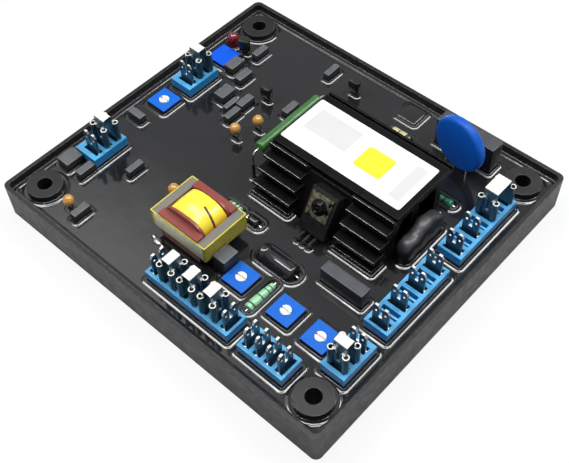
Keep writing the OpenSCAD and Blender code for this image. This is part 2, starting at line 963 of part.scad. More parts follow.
module right_banded_resistor() {
    color("#2f7a5c")
    axial_piece(right_resistor, front_turn);
}

module axial_capacitor() {
    color("#1b1b1d")
    axial_piece(axial_body, front_turn);
}

// Rounded lobes in a row: middle along the length, length and height
dipped_lobe_shares = [[-0.32, 0.34, 0.86], [-0.1, 0.4, 0.78], [0.1, 0.56, 1],
    [0.29, 0.4, 0.88]];
dipped_corner_share = 0.24;
module dipped_shape() {
    translate([dipped_at[0] - dipped_thickness / 2, dipped_at[1], board_top])
        along_x(dipped_thickness)
            for (lobe = dipped_lobe_shares)
                translate([lobe[0] * dipped_length, dipped_height * lobe[2] / 2])
                    rounded_flat(lobe[1] * dipped_length, dipped_height * lobe[2],
                        dipped_height * dipped_corner_share);
}

module dipped_capacitor() {
    color("#202022")
    dipped_shape();
}

module rim_capacitor() {
    color("#85868a")
    board_box(rim_box);
}

module large_film_capacitor() {
    color("#6e6f7a")
    board_box(large_box);
}

module square_film_capacitor() {
    color("#7c7e88")
    board_box(square_box);
}

module slim_film_capacitors() {
    color("#9b9da0")
    for (place = slim_places)
        board_box(slim_box(place));
}

module wide_film_capacitors() {
    color("#9b9da0")
    for (place = wide_places)
        board_box(place);
}

module bead_legs() {
    for (place = bead_places, side = [-1, 1])
        leg(place[0] + side * bead_leg_gap / 2, place[1], bead_level);
}

module tantalum_beads() {
    color("#eba53f")
    union() {
        for (place = bead_places)
            translate([place[0], place[1], bead_level])
                sphere(d = bead_d, $fn = 40);
        bead_legs();
    }
}

can_leg_gap = 1.27;
can_flat_share = 0.3;
module can_legs() {
    for (can = [0:2], step = [-1:1])
        leg(can_places[can][0] + step * can_leg_gap * cos(can_turns[can]),
            can_places[can][1] + step * can_leg_gap * sin(can_turns[can]),
            can_top - can_height / 2);
}

module small_transistors() {
    color("#1d1d1f")
    union() {
        for (can = [0:2])
            translate([can_places[can][0], can_places[can][1], can_top - can_height])
                rotate(can_turns[can])
                    linear_extrude(can_height)
                        difference() {
                            circle(d = can_d, $fn = round_steps);
                            translate([-can_d, -can_d - can_d * can_flat_share])
                                square([2 * can_d, can_d]);
                        }
        can_legs();
    }
}

module bridge_rectifier() {
    color("#2c2d2f")
    board_box(bridge_box);
}

// Blocks, tabs, links and trimmers, one module each

module front_block() {
    block(front_run, front_turn, front_cell_count, every_cell_8);
}

module front_block_tabs() {
    tabs(front_run, front_turn, every_cell_8);
}

module small_block() {
    block(small_run, front_turn, small_cell_count, every_cell_4);
}

module small_block_tabs() {
    tabs(small_run, front_turn, every_cell_4);
}

module right_lower_block() {
    block(right_lower_run, side_turn, short_cell_count, every_cell_3);
}

module right_lower_tabs() {
    tabs(right_lower_run, side_turn, every_cell_3);
}

module right_middle_block() {
    block(right_middle_run, side_turn, long_cell_count, second_cells);
}

module right_middle_tabs() {
    tabs(right_middle_run, side_turn, second_cells);
}

module right_upper_block() {
    block(right_upper_run, side_turn, long_cell_count, second_cells);
}

module right_upper_tabs() {
    tabs(right_upper_run, side_turn, second_cells);
}

module left_lower_block() {
    block(left_lower_run, side_turn, short_cell_count, every_cell_3);
}

module left_lower_tabs() {
    tabs(left_lower_run, side_turn, every_cell_3);
}

module left_upper_block() {
    block(left_upper_run, side_turn, short_cell_count, every_cell_3);
}

module left_upper_tabs() {
    tabs(left_upper_run, side_turn, every_cell_3);
}

module trimmer_left() {
    trimmer(trimmer_left_at);
}

module trimmer_left_rotor() {
    rotor(trimmer_left_at);
}

module trimmer_one() {
    trimmer(trimmer_one_at);
}

module trimmer_one_rotor() {
    rotor(trimmer_one_at);
}

module trimmer_two() {
    trimmer(trimmer_two_at);
}

module trimmer_two_rotor() {
    rotor(trimmer_two_at);
}

module trimmer_three() {
    trimmer(trimmer_three_at);
}

module trimmer_three_rotor() {
    rotor(trimmer_three_at);
}

module front_block_links() {
    color("#dedfdc")
    for (pair = [[1, 2], [3, 4], [5, 6]])
        link(front_run, front_turn, pair[0], pair[1]);
}

module right_lower_link() {
    color("#dedfdc")
    link(right_lower_run, side_turn, 0, 1);
}

module right_upper_link() {
    color("#dedfdc")
    link(right_upper_run, side_turn, 4, 6);
}

module left_lower_link() {
    color("#dedfdc")
    link(left_lower_run, side_turn, 1, 2);
}

module left_upper_link() {
    color("#dedfdc")
    link(left_upper_run, side_turn, 1, 2);
}

tray();
circuit_board();
casting_resin();
heatsink();
heatsink_label();
power_transistor();
spring_clamp();
clamp_screw();
transformer_core();
transformer_bobbin();
transformer_winding();
transformer_tape();
front_block();
front_block_tabs();
front_block_links();
small_block();
small_block_tabs();
right_lower_block();
right_lower_tabs();
right_lower_link();
right_middle_block();
right_middle_tabs();
right_upper_block();
right_upper_tabs();
right_upper_link();
left_lower_block();
left_lower_tabs();
left_lower_link();
left_upper_block();
left_upper_tabs();
left_upper_link();
trimmer_left();
trimmer_left_rotor();
trimmer_one();
trimmer_one_rotor();
trimmer_two();
trimmer_two_rotor();
trimmer_three();
trimmer_three_rotor();
blue_film_capacitor();
indicator_lamp();
varistor();
wirewound_resistor();
front_banded_resistor();
middle_banded_resistor();
front_diode();
rear_banded_resistor();
right_banded_resistor();
axial_capacitor();
dipped_capacitor();
rim_capacitor();
large_film_capacitor();
square_film_capacitor();
slim_film_capacitors();
wide_film_capacitors();
tantalum_beads();
small_transistors();
bridge_rectifier();
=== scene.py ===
"""Looks of a potted automatic voltage regulator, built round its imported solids.

The tray, resin, heatsink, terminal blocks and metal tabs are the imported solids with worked
finishes. The dipped, wound and moulded components are remade here as smooth meshes in the
same places. Everything is in metres, with +Z up and the origin under the tray's middle.
"""

import logging
import math
from dataclasses import dataclass, field
from enum import Enum
from typing import Callable, Iterable, Sequence

import bmesh
import bpy
from mathutils import Matrix, Vector


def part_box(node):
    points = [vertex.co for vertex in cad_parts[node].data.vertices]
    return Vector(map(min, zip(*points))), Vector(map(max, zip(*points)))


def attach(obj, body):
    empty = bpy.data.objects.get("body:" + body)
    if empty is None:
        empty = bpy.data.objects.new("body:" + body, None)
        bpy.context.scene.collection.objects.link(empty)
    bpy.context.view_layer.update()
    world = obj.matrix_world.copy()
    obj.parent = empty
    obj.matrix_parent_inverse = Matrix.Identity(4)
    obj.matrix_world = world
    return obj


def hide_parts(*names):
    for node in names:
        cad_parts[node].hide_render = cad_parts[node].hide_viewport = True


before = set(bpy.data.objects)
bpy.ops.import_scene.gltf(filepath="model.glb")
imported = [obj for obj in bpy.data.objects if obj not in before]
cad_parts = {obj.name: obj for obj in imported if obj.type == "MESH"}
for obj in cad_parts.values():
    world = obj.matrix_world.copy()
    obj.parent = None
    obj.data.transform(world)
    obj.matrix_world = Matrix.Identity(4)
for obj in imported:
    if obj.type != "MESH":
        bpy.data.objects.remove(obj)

LOG = logging.getLogger("regulator")
MM = 0.001
BODY = "regulator"
BOARD_TOP = 8.0
RESIN = 11.0


def linear(code: str) -> tuple[float, float, float, float]:
    """Turns an sRGB hex code into a linear colour with full alpha.

    Args:
        code: The colour as six hex digits after a hash.

    Returns:
        Red, green, blue and alpha for a shader socket.
    """
    parts = [int(code[i : i + 2], 16) / 255 for i in (1, 3, 5)]
    flat = [c / 12.92 if c <= 0.04045 else ((c + 0.055) / 1.055) ** 2.4 for c in parts]
    return flat[0], flat[1], flat[2], 1.0


def add_node(
    tree: bpy.types.NodeTree,
    kind: str,
    settings: dict[str, object] | None = None,
    inputs: dict[int | str, object] | None = None,
) -> bpy.types.Node:
    """Adds a node, sets its properties, and sets or links its inputs.

    Args:
        tree: The material's or world's node tree.
        kind: The node type's name without its ShaderNode prefix.
        settings: Property names and their values.
        inputs: Input names or numbers, with a value or an output socket each.

    Returns:
        The new node.
    """
    node = tree.nodes.new("ShaderNode" + kind)
    for name, value in (settings or {}).items():
        setattr(node, name, value)
    for key, value in (inputs or {}).items():
        if isinstance(value, bpy.types.NodeSocket):
            tree.links.new(value, node.inputs[key])
        else:
            node.inputs[key].default_value = value
    return node


class Grain(Enum):
    """How a finish's fine pattern runs."""

    EVEN = "even"
    ALONG_X = "along x"
    ALONG_Y = "along y"
    ALONG_Z = "along z"

    def stretch(self) -> tuple[float, float, float]:
        """Gives the scale of each axis for a pattern that is drawn out along one of them."""
        return {
            Grain.EVEN: (1.0, 1.0, 1.0),
            Grain.ALONG_X: (0.06, 1.0, 1.0),
            Grain.ALONG_Y: (1.0, 0.06, 1.0),
            Grain.ALONG_Z: (1.0, 1.0, 0.06),
        }[self]


@dataclass(frozen=True)
class Finish:
    """A surface finish: base colour, gloss, and a fine pattern of a real size.

    Attributes:
        name: The finish's name in a maker's words.
        colour: Base colour as sRGB hex.
        shade: Second colour that the broad mottling moves towards.
        roughness: Mean roughness.
        metallic: 1 for bare metal, else 0.
        ior: Index of refraction; bare metals keep the default.
        grain_mm: Size of the fine texture in millimetres.
        relief_mm: Height of the fine texture in millimetres.
        mottle_mm: Size of the broad variation in millimetres.
        mottle: How far the broad variation moves the colour, 0 to 1.
        edge_highlight: How far the painted highlight moves edges towards the edge colour, 0 to 1.
        edge: Colour of the painted highlight on edges.
        edge_mm: Radius that softens sharp edges in the shading.
        grain: Direction of the fine texture.
        coat: Weight of a clear coat.
        depth: Weight of light scattered inside the material.
        clear: Weight of light that passes through.
        specular: Specular level, where it isn't the usual half.
        side: Painted light and shade: colour of the faces that don't look up, or nothing for the same
            colour.
        highlight_from: Noise level from which edges get the painted highlight; lower is more even.
    """

    name: str
    colour: str
    shade: str
    roughness: float = 0.4
    metallic: float = 0.0
    ior: float = 1.5
    grain_mm: float = 0.3
    relief_mm: float = 0.01
    mottle_mm: float = 8.0
    mottle: float = 0.35
    edge_highlight: float = 0.0
    edge: str = "#8a8a88"
    edge_mm: float = 0.15
    grain: Grain = Grain.EVEN
    coat: float = 0.0
    depth: float = 0.0
    clear: float = 0.0
    specular: float = 0.5
    side: str = ""
    highlight_from: float = 0.42

    def make(self) -> bpy.types.Material:
        """Builds the material, or returns the one already made.

        Returns:
            The Blender material of this finish.
        """
        found = bpy.data.materials.get(self.name)
        if found:
            return found
        material = bpy.data.materials.new(self.name)
        material.use_nodes = True
        material.diffuse_color = linear(self.colour)
        tree = material.node_tree
        tree.nodes.clear()
        place = add_node(tree, "TexCoord").outputs["Object"]
        colour = self.base(tree, place)
        shader = self.surface(tree, place, colour)
        out = add_node(tree, "OutputMaterial", inputs={"Surface": shader.outputs[0]})
        out.location = (600, 0)
        return material

    def base(self, tree: bpy.types.NodeTree, place: bpy.types.NodeSocket) -> bpy.types.NodeSocket:
        """Mixes the base colour with its second shade in soft patches.

        Args:
            tree: The material's node tree.
            place: Object coordinates.

        Returns:
            The colour's output socket.
        """
        patches = add_node(
            tree,
            "TexNoise",
            inputs={"Vector": place, "Scale": 1 / (self.mottle_mm * MM), "Detail": 4.0},
        )
        amount = add_node(
            tree,
            "MapRange",
            inputs={0: patches.outputs[0], 1: 0.35, 2: 0.7, 3: 0.0, 4: self.mottle},
        )
        mixed = add_node(
            tree,
            "Mix",
            {"data_type": "RGBA"},
            {0: amount.outputs[0], 6: linear(self.colour), 7: linear(self.shade)},
        )
        return self.paint_side_shade(tree, mixed.outputs[2])

    def paint_side_shade(
        self, tree: bpy.types.NodeTree, colour: bpy.types.NodeSocket
    ) -> bpy.types.NodeSocket:
        """Paints the faces that don't look up in the finish's side colour, where it has one: painted light
        and shade for how the light falls on them.

        Args:
            tree: The material's node tree.
            colour: The colour of the faces that look up.

        Returns:
            The colour's output socket.
        """
        if not self.side:
            return colour
        # Painted light and shade: the more a face turns from up, the more it takes the side colour
        facing = add_node(
            tree,
            "SeparateXYZ",
            inputs={0: add_node(tree, "NewGeometry").outputs["Normal"]},
        )
        level = add_node(
            tree, "MapRange", inputs={0: facing.outputs["Z"], 1: 0.35, 2: 0.8, 3: 0.0, 4: 1.0}
        )
        mixed = add_node(
            tree,
            "Mix",
            {"data_type": "RGBA"},
            {0: level.outputs[0], 6: linear(self.side), 7: colour},
        )
        return mixed.outputs[2]

    def paint_edge_highlights(
        self, tree: bpy.types.NodeTree, place: bpy.types.NodeSocket, colour: bpy.types.NodeSocket
    ) -> bpy.types.NodeSocket:
        """Paints highlights on edges in broken patches, in the edge colour.

        Args:
            tree: The material's node tree.
            place: Object coordinates.
            colour: The colour before the painted edge highlights.

        Returns:
            The colour's output socket.
        """
        if self.edge_highlight <= 0:
            return colour
        edge = add_node(tree, "Bevel", {"samples": 4}, {"Radius": 2.2 * self.edge_mm * MM})
        flat = add_node(tree, "NewGeometry").outputs["Normal"]
        bend = add_node(tree, "VectorMath", {"operation": "DOT_PRODUCT"}, {0: edge.outputs[0], 1: flat})
        highlight_noise = add_node(
            tree, "TexNoise", inputs={"Vector": place, "Scale": 1 / (1.6 * MM), "Detail": 5.0}
        )
        near = add_node(tree, "MapRange", inputs={0: bend.outputs[1], 1: 0.98, 2: 0.8, 3: 0.0, 4: 1.0})
        kept = add_node(tree, "MapRange", inputs={0: highlight_noise.outputs[0], 1: self.highlight_from, 2: self.highlight_from + 0.2, 3: 0.0, 4: self.edge_highlight})
        both = add_node(tree, "Math", {"operation": "MULTIPLY"}, {0: near.outputs[0], 1: kept.outputs[0]})
        mixed = add_node(
            tree,
            "Mix",
            {"data_type": "RGBA"},
            {0: both.outputs[0], 6: colour, 7: linear(self.edge)},
        )
        return mixed.outputs[2]

    def relief(self, tree: bpy.types.NodeTree, place: bpy.types.NodeSocket) -> bpy.types.NodeSocket:
        """Gives the fine texture's height pattern.

        Args:
            tree: The material's node tree.
            place: Object coordinates.

        Returns:
            The height's output socket, from 0 to 1.
        """
        turned = add_node(tree, "Mapping", inputs={"Vector": place, "Scale": self.grain.stretch()})
        fine = add_node(
            tree,
            "TexNoise",
            inputs={"Vector": turned.outputs[0], "Scale": 1 / (self.grain_mm * MM), "Detail": 3.0},
        )
        return fine.outputs[0]

    def surface(
        self, tree: bpy.types.NodeTree, place: bpy.types.NodeSocket, colour: bpy.types.NodeSocket
    ) -> bpy.types.Node:
        """Makes the shader from the colour, the relief and the constant settings.

        Args:
            tree: The material's node tree.
            place: Object coordinates.
            colour: The base colour before the painted edge highlights.

        Returns:
            The shader node.
        """
        soft = add_node(tree, "Bevel", {"samples": 4}, {"Radius": self.edge_mm * MM})
        bump = add_node(
            tree,
            "Bump",
            inputs={
                "Strength": 1.0,
                "Distance": self.relief_mm * MM,
                "Height": self.relief(tree, place),
                "Normal": soft.outputs[0],
            },
        )
        smudge = add_node(
            tree, "TexNoise", inputs={"Vector": place, "Scale": 1 / (3.1 * MM), "Detail": 4.0}
        )
        rough = add_node(
            tree,
            "MapRange",
            inputs={
                0: smudge.outputs[0],
                1: 0.3,
                2: 0.7,
                3: max(0.02, self.roughness * 0.82),
                4: min(1.0, self.roughness * 1.18),
            },
        )
        values: dict[int | str, object] = {
            "Base Color": self.paint_edge_highlights(tree, place, colour),
            "Roughness": rough.outputs[0],
            "Metallic": self.metallic,
            "Normal": bump.outputs[0],
            "Coat Weight": self.coat,
            "Coat Roughness": 0.08,
            "Subsurface Weight": self.depth,
            "Transmission Weight": self.clear,
        }
        if self.metallic < 0.5:
            values["IOR"] = self.ior
            values["Specular IOR Level"] = self.specular
        shader = add_node(tree, "BsdfPrincipled", inputs=values)
        if self.depth > 0:
            shader.inputs["Subsurface Scale"].default_value = 1.0 * MM
        return shader


@dataclass(frozen=True)
class CastResin(Finish):
    """Poured epoxy: nearly black and glossy, with slow ripples and specks of dust."""

    ripple_mm: float = 16.0
    ripple_height_mm: float = 0.13

    def relief(self, tree: bpy.types.NodeTree, place: bpy.types.NodeSocket) -> bpy.types.NodeSocket:
        """Adds slow ripples, left by the resin's uneven shrinking, to the fine texture.

        Args:
            tree: The material's node tree.
            place: Object coordinates.

        Returns:
            The height's output socket.
        """
        slow = add_node(
            tree,
            "TexNoise",
            inputs={"Vector": place, "Scale": 1 / (self.ripple_mm * MM), "Detail": 1.5},
        )
        fine = add_node(
            tree,
            "TexNoise",
            inputs={"Vector": place, "Scale": 1 / (self.grain_mm * MM), "Detail": 2.0},
        )
        small = add_node(
            tree,
            "Math",
            {"operation": "MULTIPLY"},
            {0: fine.outputs[0], 1: self.relief_mm / self.ripple_height_mm},
        )
        both = add_node(tree, "Math", {"operation": "ADD"}, {0: slow.outputs[0], 1: small.outputs[0]})
        lift = add_node(
            tree,
            "Math",
            {"operation": "MULTIPLY"},
            {0: both.outputs[0], 1: self.ripple_height_mm / self.relief_mm},
        )
        return lift.outputs[0]


@dataclass(frozen=True)
class StackedSheets(Finish):
    """Laminations: thin steel sheets on edge, seen as fine lines round the stack's sides."""

    sheet_mm: float = 0.5

    def relief(self, tree: bpy.types.NodeTree, place: bpy.types.NodeSocket) -> bpy.types.NodeSocket:
        """Draws a line between each pair of sheets.

        Args:
            tree: The material's node tree.
            place: Object coordinates.

        Returns:
            The height's output socket.
        """
        lines = add_node(
            tree,
            "TexWave",
            {"bands_direction": "Z", "wave_profile": "SIN"},
            {"Vector": place, "Scale": 2 * math.pi / (20 * self.sheet_mm * MM), "Distortion": 0.3},
        )
        return lines.outputs["Fac"]


@dataclass(frozen=True)
class WoundTape(Finish):
    """Film tape wound over a coil: smooth, with the wire's turns faintly showing through."""

    turn_mm: float = 0.9

    def relief(self, tree: bpy.types.NodeTree, place: bpy.types.NodeSocket) -> bpy.types.NodeSocket:
        """Draws the wire's turns under the tape, with slack places in the film.

        Args:
            tree: The material's node tree.
            place: Object coordinates.

        Returns:
            The height's output socket.
        """
        slack = add_node(
            tree,
            "Mapping",
            inputs={"Vector": place, "Scale": (1.0, 0.35, 1.0)},
        )
        creases = add_node(
            tree,
            "TexNoise",
            inputs={"Vector": slack.outputs[0], "Scale": 1 / (4.0 * MM), "Detail": 3.0},
        )
        turns = add_node(
            tree,
            "TexWave",
            {"bands_direction": "Y", "wave_profile": "SIN"},
            {"Vector": place, "Scale": 2 * math.pi / (20 * self.turn_mm * MM), "Distortion": 0.8},
        )
        faint = add_node(tree, "Math", {"operation": "MULTIPLY"}, {0: turns.outputs["Fac"], 1: 0.22})
        both = add_node(tree, "Math", {"operation": "ADD"}, {0: creases.outputs[0], 1: faint.outputs[0]})
        return both.outputs[0]


class Finishes:
    """The finishes of the regulator, named for what each surface is."""

    # Moulded phenolic tray: dark grey and satin, with a painted highlight along its edges and painted light
    # that makes the faces that don't look up a little paler
    tray = Finish("moulded_phenolic", "#121213", "#19191a", 0.42, grain_mm=0.5, relief_mm=0.02,
                  mottle_mm=12, edge_highlight=0.6, edge="#6f6f6d", edge_mm=0.35, side="#18181a",
                  specular=0.35)
    # Fibreglass board under the resin: green, only its edge could ever show
    board = Finish("fibreglass_board", "#2f5a3a", "#3b6b44", 0.45, grain_mm=0.4, relief_mm=0.02)
    # Poured epoxy: near black, mirror smooth over slow ripples
    resin = CastResin("poured_epoxy", "#1d1e20", "#232426", 0.09, ior=1.55, grain_mm=2.2,
                      relief_mm=0.012, mottle_mm=20, mottle=0.5, edge_mm=0.05)
    # Anodised extrusion: black with a dull sheen and fine drawn lines along its length, with painted
    # highlights in patches along its edges
    heatsink = Finish("anodised_extrusion", "#040405", "#09090a", 0.4, grain_mm=0.25,
                      relief_mm=0.012, grain=Grain.ALONG_X, edge_highlight=0.5, edge="#5c5c5e",
                      edge_mm=0.2, mottle_mm=10, highlight_from=0.3, specular=0.12)
    # Painted highlight: bright metal lines along the fins' tips
    fin_highlight = Finish("painted_fin_highlight", "#b9b9ba", "#77777a", 0.26, metallic=1.0, grain_mm=0.3,
                      relief_mm=0.01, grain=Grain.ALONG_X, mottle_mm=5, mottle=0.8, edge_mm=0.03)
    # White polyester film: flat white with a slight sheen
    film = Finish("white_film", "#f3f3f2", "#ececeb", 0.38, grain_mm=1.5, relief_mm=0.006,
                  mottle_mm=15, edge_mm=0.1)
    # Printed ink on the film: plain fields of colour
    ink_yellow = Finish("yellow_ink", "#f4e52c", "#eddb26", 0.4, grain_mm=0.6, relief_mm=0.004,
                        edge_mm=0.02)
    ink_grey = Finish("pale_grey_ink", "#d4d4d5", "#dedede", 0.45, grain_mm=0.6,
                      relief_mm=0.004, edge_mm=0.02)
    # Moulded epoxy of transistors: black, fine and satin
    epoxy = Finish("moulded_epoxy", "#161617", "#1e1e20", 0.28, grain_mm=0.25, relief_mm=0.012,
                   mottle_mm=5, edge_mm=0.18)
    # Pressed spring steel: dark, with painted glints as bright olive-grey flecks
    spring = Finish("spring_steel_painted_glints", "#0d0d0c", "#b0ae98", 0.34, metallic=1.0, grain_mm=0.3,
                    relief_mm=0.05, mottle_mm=1.7, mottle=1.0, edge_mm=0.1)
    # Blackened screw: dark metal, brighter where the driver has turned
    screw = Finish("blackened_screw", "#202021", "#3c3c3d", 0.2, metallic=1.0, grain_mm=0.3,
                   relief_mm=0.015, mottle_mm=2, edge_mm=0.08)
    # Silicon steel laminations: warm grey, lightly varnished, fine lines between sheets
    core = StackedSheets("varnished_laminations", "#77746c", "#67635b", 0.42, grain_mm=0.5,
                         relief_mm=0.03, mottle_mm=4, edge_mm=0.12)
    # Moulded nylon bobbin: red-brown and satin, with painted shade on the faces that don't look up and
    # painted highlights along its edges
    bobbin = Finish("moulded_nylon", "#8f3d35", "#7a312b", 0.36, grain_mm=0.3, relief_mm=0.012,
                    mottle_mm=3, mottle=0.6, edge_mm=0.15, depth=0.04, side="#7c3029",
                    edge_highlight=0.5, edge="#cf7c70")
    # Yellow polyester tape: bright, smooth, glossy, with painted orange shade on the faces that don't look
    # up
    winding = WoundTape("yellow_film_tape", "#fdee44", "#f8dc34", 0.2, grain_mm=0.5,
                        relief_mm=0.09, mottle_mm=6, mottle=0.5, depth=0.06, edge_mm=0.1,
                        side="#e6b422")
    # Olive tape round the laminations: duller, slightly see-through, with painted shade on the faces that
    # don't look up and a painted highlight along its edges
    band = Finish("olive_film_tape", "#e0d23e", "#d0c034", 0.26, grain_mm=1.4, relief_mm=0.03,
                  mottle_mm=2.5, mottle=0.8, edge_mm=0.12, side="#aaa038", edge_highlight=0.8,
                  edge="#f0e65a", highlight_from=0.25)
    # Plain paper strip on the transformer's front: cream with a faint olive stain
    strip = Finish("plain_paper_strip", "#e6e2c6", "#cfcaa6", 0.5, grain_mm=0.7,
                   relief_mm=0.01, mottle_mm=2.2, mottle=0.7, edge_mm=0.05)
    # Painted shade: dark brown line in the crease of the winding's tape
    crease = Finish("painted_crease_shade", "#5a3410", "#3c210a", 0.5, grain_mm=0.4, relief_mm=0.02,
                    mottle_mm=1.5, edge_mm=0.05)
    # Solder over a joint: bright and uneven
    solder = Finish("grey_solder", "#b4b4b0", "#6f6f6d", 0.28, metallic=1.0, grain_mm=0.8,
                    relief_mm=0.12, mottle_mm=1.2, mottle=0.8, edge_mm=0.1)
    # Moulded polyester block: light blue, slightly glossy, with painted shade on the faces that don't look
    # up and painted highlights along its edges
    block = Finish("moulded_blue_block", "#58b4ea", "#46a4de", 0.3, grain_mm=0.35,
                   relief_mm=0.012, mottle_mm=4, mottle=0.5, depth=0.04, edge_mm=0.16,
                   edge_highlight=0.6, edge="#9cdaff", side="#2a86c6", highlight_from=0.36)
    # Tinned brass tabs: near white where they look up, with painted shade and a painted blue reflection down
    # their sides and painted highlights along their edges
    tab = Finish("tinned_brass_tab", "#fbfbf6", "#ecebe4", 0.3, metallic=0.6, grain_mm=0.2,
                 relief_mm=0.008, grain=Grain.ALONG_Z, mottle_mm=1.6, mottle=0.8, edge_mm=0.1,
                 side="#31566b", edge_highlight=0.7, edge="#e8e8e4", highlight_from=0.4)
    # Tinned strip of the links: white where it looks up, with painted shade and a painted blue reflection
    # down its sides and painted highlights along its edges
    link = Finish("tinned_strip", "#f9f8f0", "#ece9da", 0.3, metallic=0.15, grain_mm=0.25,
                  relief_mm=0.008, mottle_mm=3, mottle=0.5, edge_mm=0.1, side="#2b4b5d",
                  edge_highlight=0.4, edge="#cfcdbf", highlight_from=0.46)
    # Moulded blue trimmer body: strong blue, smooth, with painted shade on the faces that don't look up
    trimmer = Finish("moulded_blue_trimmer", "#0468d4", "#0360c8", 0.34, grain_mm=0.3,
                     relief_mm=0.01, mottle_mm=4, mottle=0.4, edge_mm=0.18, depth=0.03,
                     side="#0c2f78", specular=0.3)
    # Plain blue capacitor: the same moulding in a deeper blue, with painted shade on the faces that don't
    # look up
    blue_case = Finish("moulded_blue_capacitor", "#005ae2", "#0054d4", 0.34, grain_mm=0.3,
                       relief_mm=0.01, mottle_mm=4, mottle=0.4, edge_mm=0.18, side="#0a2c78",
                       specular=0.2)
    # White rotor: matt moulded nylon
    rotor = Finish("white_rotor", "#fbfaf4", "#f3f0e2", 0.4, grain_mm=0.3, relief_mm=0.01,
                   mottle_mm=2, edge_mm=0.3, depth=0.6)
    # Grey capacitor case: matt moulded box, with painted shade on the faces that don't look up and painted
    # highlights along its edges
    case = Finish("grey_case", "#595c5f", "#4a4d50", 0.42, grain_mm=0.35, relief_mm=0.02,
                  mottle_mm=2.5, mottle=0.6, edge_mm=0.2, edge_highlight=0.6, edge="#a9acaf",
                  side="#2d2e30")
    # Darker potting inside a capacitor's case
    case_fill = Finish("case_fill", "#77797d", "#8e9094", 0.5, grain_mm=0.6, relief_mm=0.03,
                       mottle_mm=1.8, mottle=0.8, edge_mm=0.1)
    # Slate capacitor case: bluish grey, with painted shade on the faces that don't look up and painted
    # highlights along its edges
    slate = Finish("slate_case", "#404349", "#383b41", 0.4, grain_mm=0.35, relief_mm=0.02,
                   mottle_mm=4, mottle=0.5, edge_mm=0.2, edge_highlight=0.25, edge="#6c6e76",
                   side="#222328")
    # Red lamp: tinted clear epoxy
    lamp = Finish("red_lamp", "#6e0f1e", "#861826", 0.16, grain_mm=2, relief_mm=0.01,
                  mottle_mm=3, depth=0.25, coat=0.6, edge_mm=0.1)
    # Varistor coating: deep blue, dipped, satin
    varistor = Finish("dipped_blue", "#025ac4", "#0250b0", 0.5, grain_mm=1.2, relief_mm=0.05,
                      mottle_mm=6, mottle=0.4, edge_mm=0.2, depth=0.02, specular=0.25)
    # Cement coating of a wirewound resistor: mid green, slightly rough
    cement = Finish("green_cement", "#2f662b", "#3b7235", 0.36, grain_mm=0.6, relief_mm=0.05,
                    mottle_mm=3, mottle=0.7, edge_mm=0.15)
    # Pale lacquer of small resistors
    pale = Finish("pale_green_lacquer", "#9fdcae", "#86c898", 0.3, grain_mm=0.8, relief_mm=0.03,
                  mottle_mm=2.5, mottle=0.6, edge_mm=0.1)
    teal = Finish("teal_lacquer", "#2f7f63", "#3f9474", 0.3, grain_mm=0.8, relief_mm=0.03,
                  mottle_mm=2.5, mottle=0.6, edge_mm=0.1)
    stripe = Finish("dark_stripe", "#2a3326", "#3a4432", 0.4, grain_mm=0.5, relief_mm=0.02,
                    edge_mm=0.05)
    # Orange bead: dipped, glossy, slightly glowing
    bead = Finish("dipped_orange", "#cf9c4c", "#b07a2a", 0.26, grain_mm=1.5, relief_mm=0.03,
                  mottle_mm=1.6, mottle=0.8, depth=0.1, coat=0.25, edge_mm=0.1)
    # Dipped black coating with a soft skin: painted light makes it grey where it looks up, painted shade
    # near black down its sides
    dipped = Finish("dipped_black", "#38383b", "#47474b", 0.42, grain_mm=2.2, relief_mm=0.25,
                    mottle_mm=3, mottle=0.8, edge_mm=0.2, side="#101011")
    # Bare black diode body: smooth and satin
    diode = Finish("black_diode", "#141415", "#1d1d1f", 0.22, grain_mm=0.6, relief_mm=0.01,
                   mottle_mm=2, edge_mm=0.1)
    # Cream lacquer of a resistor, stained by the resin, with painted highlights along its edges
    cream = Finish("cream_lacquer", "#d8d0a2", "#b0a878", 0.28, grain_mm=0.8, relief_mm=0.04,
                   mottle_mm=1.6, mottle=0.9, edge_mm=0.1, edge_highlight=0.5, edge="#f6f3dc")
    # Solder and tinned wire: bright grey metal
    wire = Finish("tinned_wire", "#c9c8c2", "#aaa9a4", 0.22, metallic=1.0, grain_mm=0.3,
                  relief_mm=0.02, mottle_mm=1.5, mottle=0.6, edge_mm=0.05)
    # Black sleeve on a lead
    sleeve = Finish("black_sleeve", "#1a1a1b", "#252527", 0.3, grain_mm=0.6, relief_mm=0.03,
                    edge_mm=0.1)


Mesh = bmesh.types.BMesh


def rounded_ring(mesh: Mesh, half_x: float, half_y: float, corner: float, at: Vector, turn: float,
                 steps: int = 6) -> list[bmesh.types.BMEdge]:
    """Adds a closed rounded-rectangle loop, made from a circle whose quarters are moved apart.

    Args:
        mesh: The mesh to add to.
        half_x: Half the length along X before turning.
        half_y: Half the width along Y before turning.
        corner: Corner radius.
        at: Middle of the loop.
        turn: Turn about Z in degrees.
        steps: Edges in each corner.

    Returns:
        The loop's edges.
    """
    made = bmesh.ops.create_circle(mesh, segments=4 * steps, radius=corner)["verts"]
    lean = Matrix.Rotation(math.radians(180 / (4 * steps)), 4, "Z")
    bmesh.ops.transform(mesh, matrix=lean, verts=made)
    for vert in made:
        vert.co.x += math.copysign(half_x - corner, vert.co.x)
        vert.co.y += math.copysign(half_y - corner, vert.co.y)
    place = Matrix.Translation(at) @ Matrix.Rotation(math.radians(turn), 4, "Z")
    bmesh.ops.transform(mesh, matrix=place, verts=made)
    return list({edge for vert in made for edge in vert.link_edges})


def bridge(mesh: Mesh, rings: Sequence[list[bmesh.types.BMEdge]]) -> None:
    """Joins each loop of edges to the next.

    Args:
        mesh: The mesh that holds the loops.
        rings: The loops in order.
    """
    for first, second in zip(rings, rings[1:]):
        bmesh.ops.bridge_loops(mesh, edges=first + second)


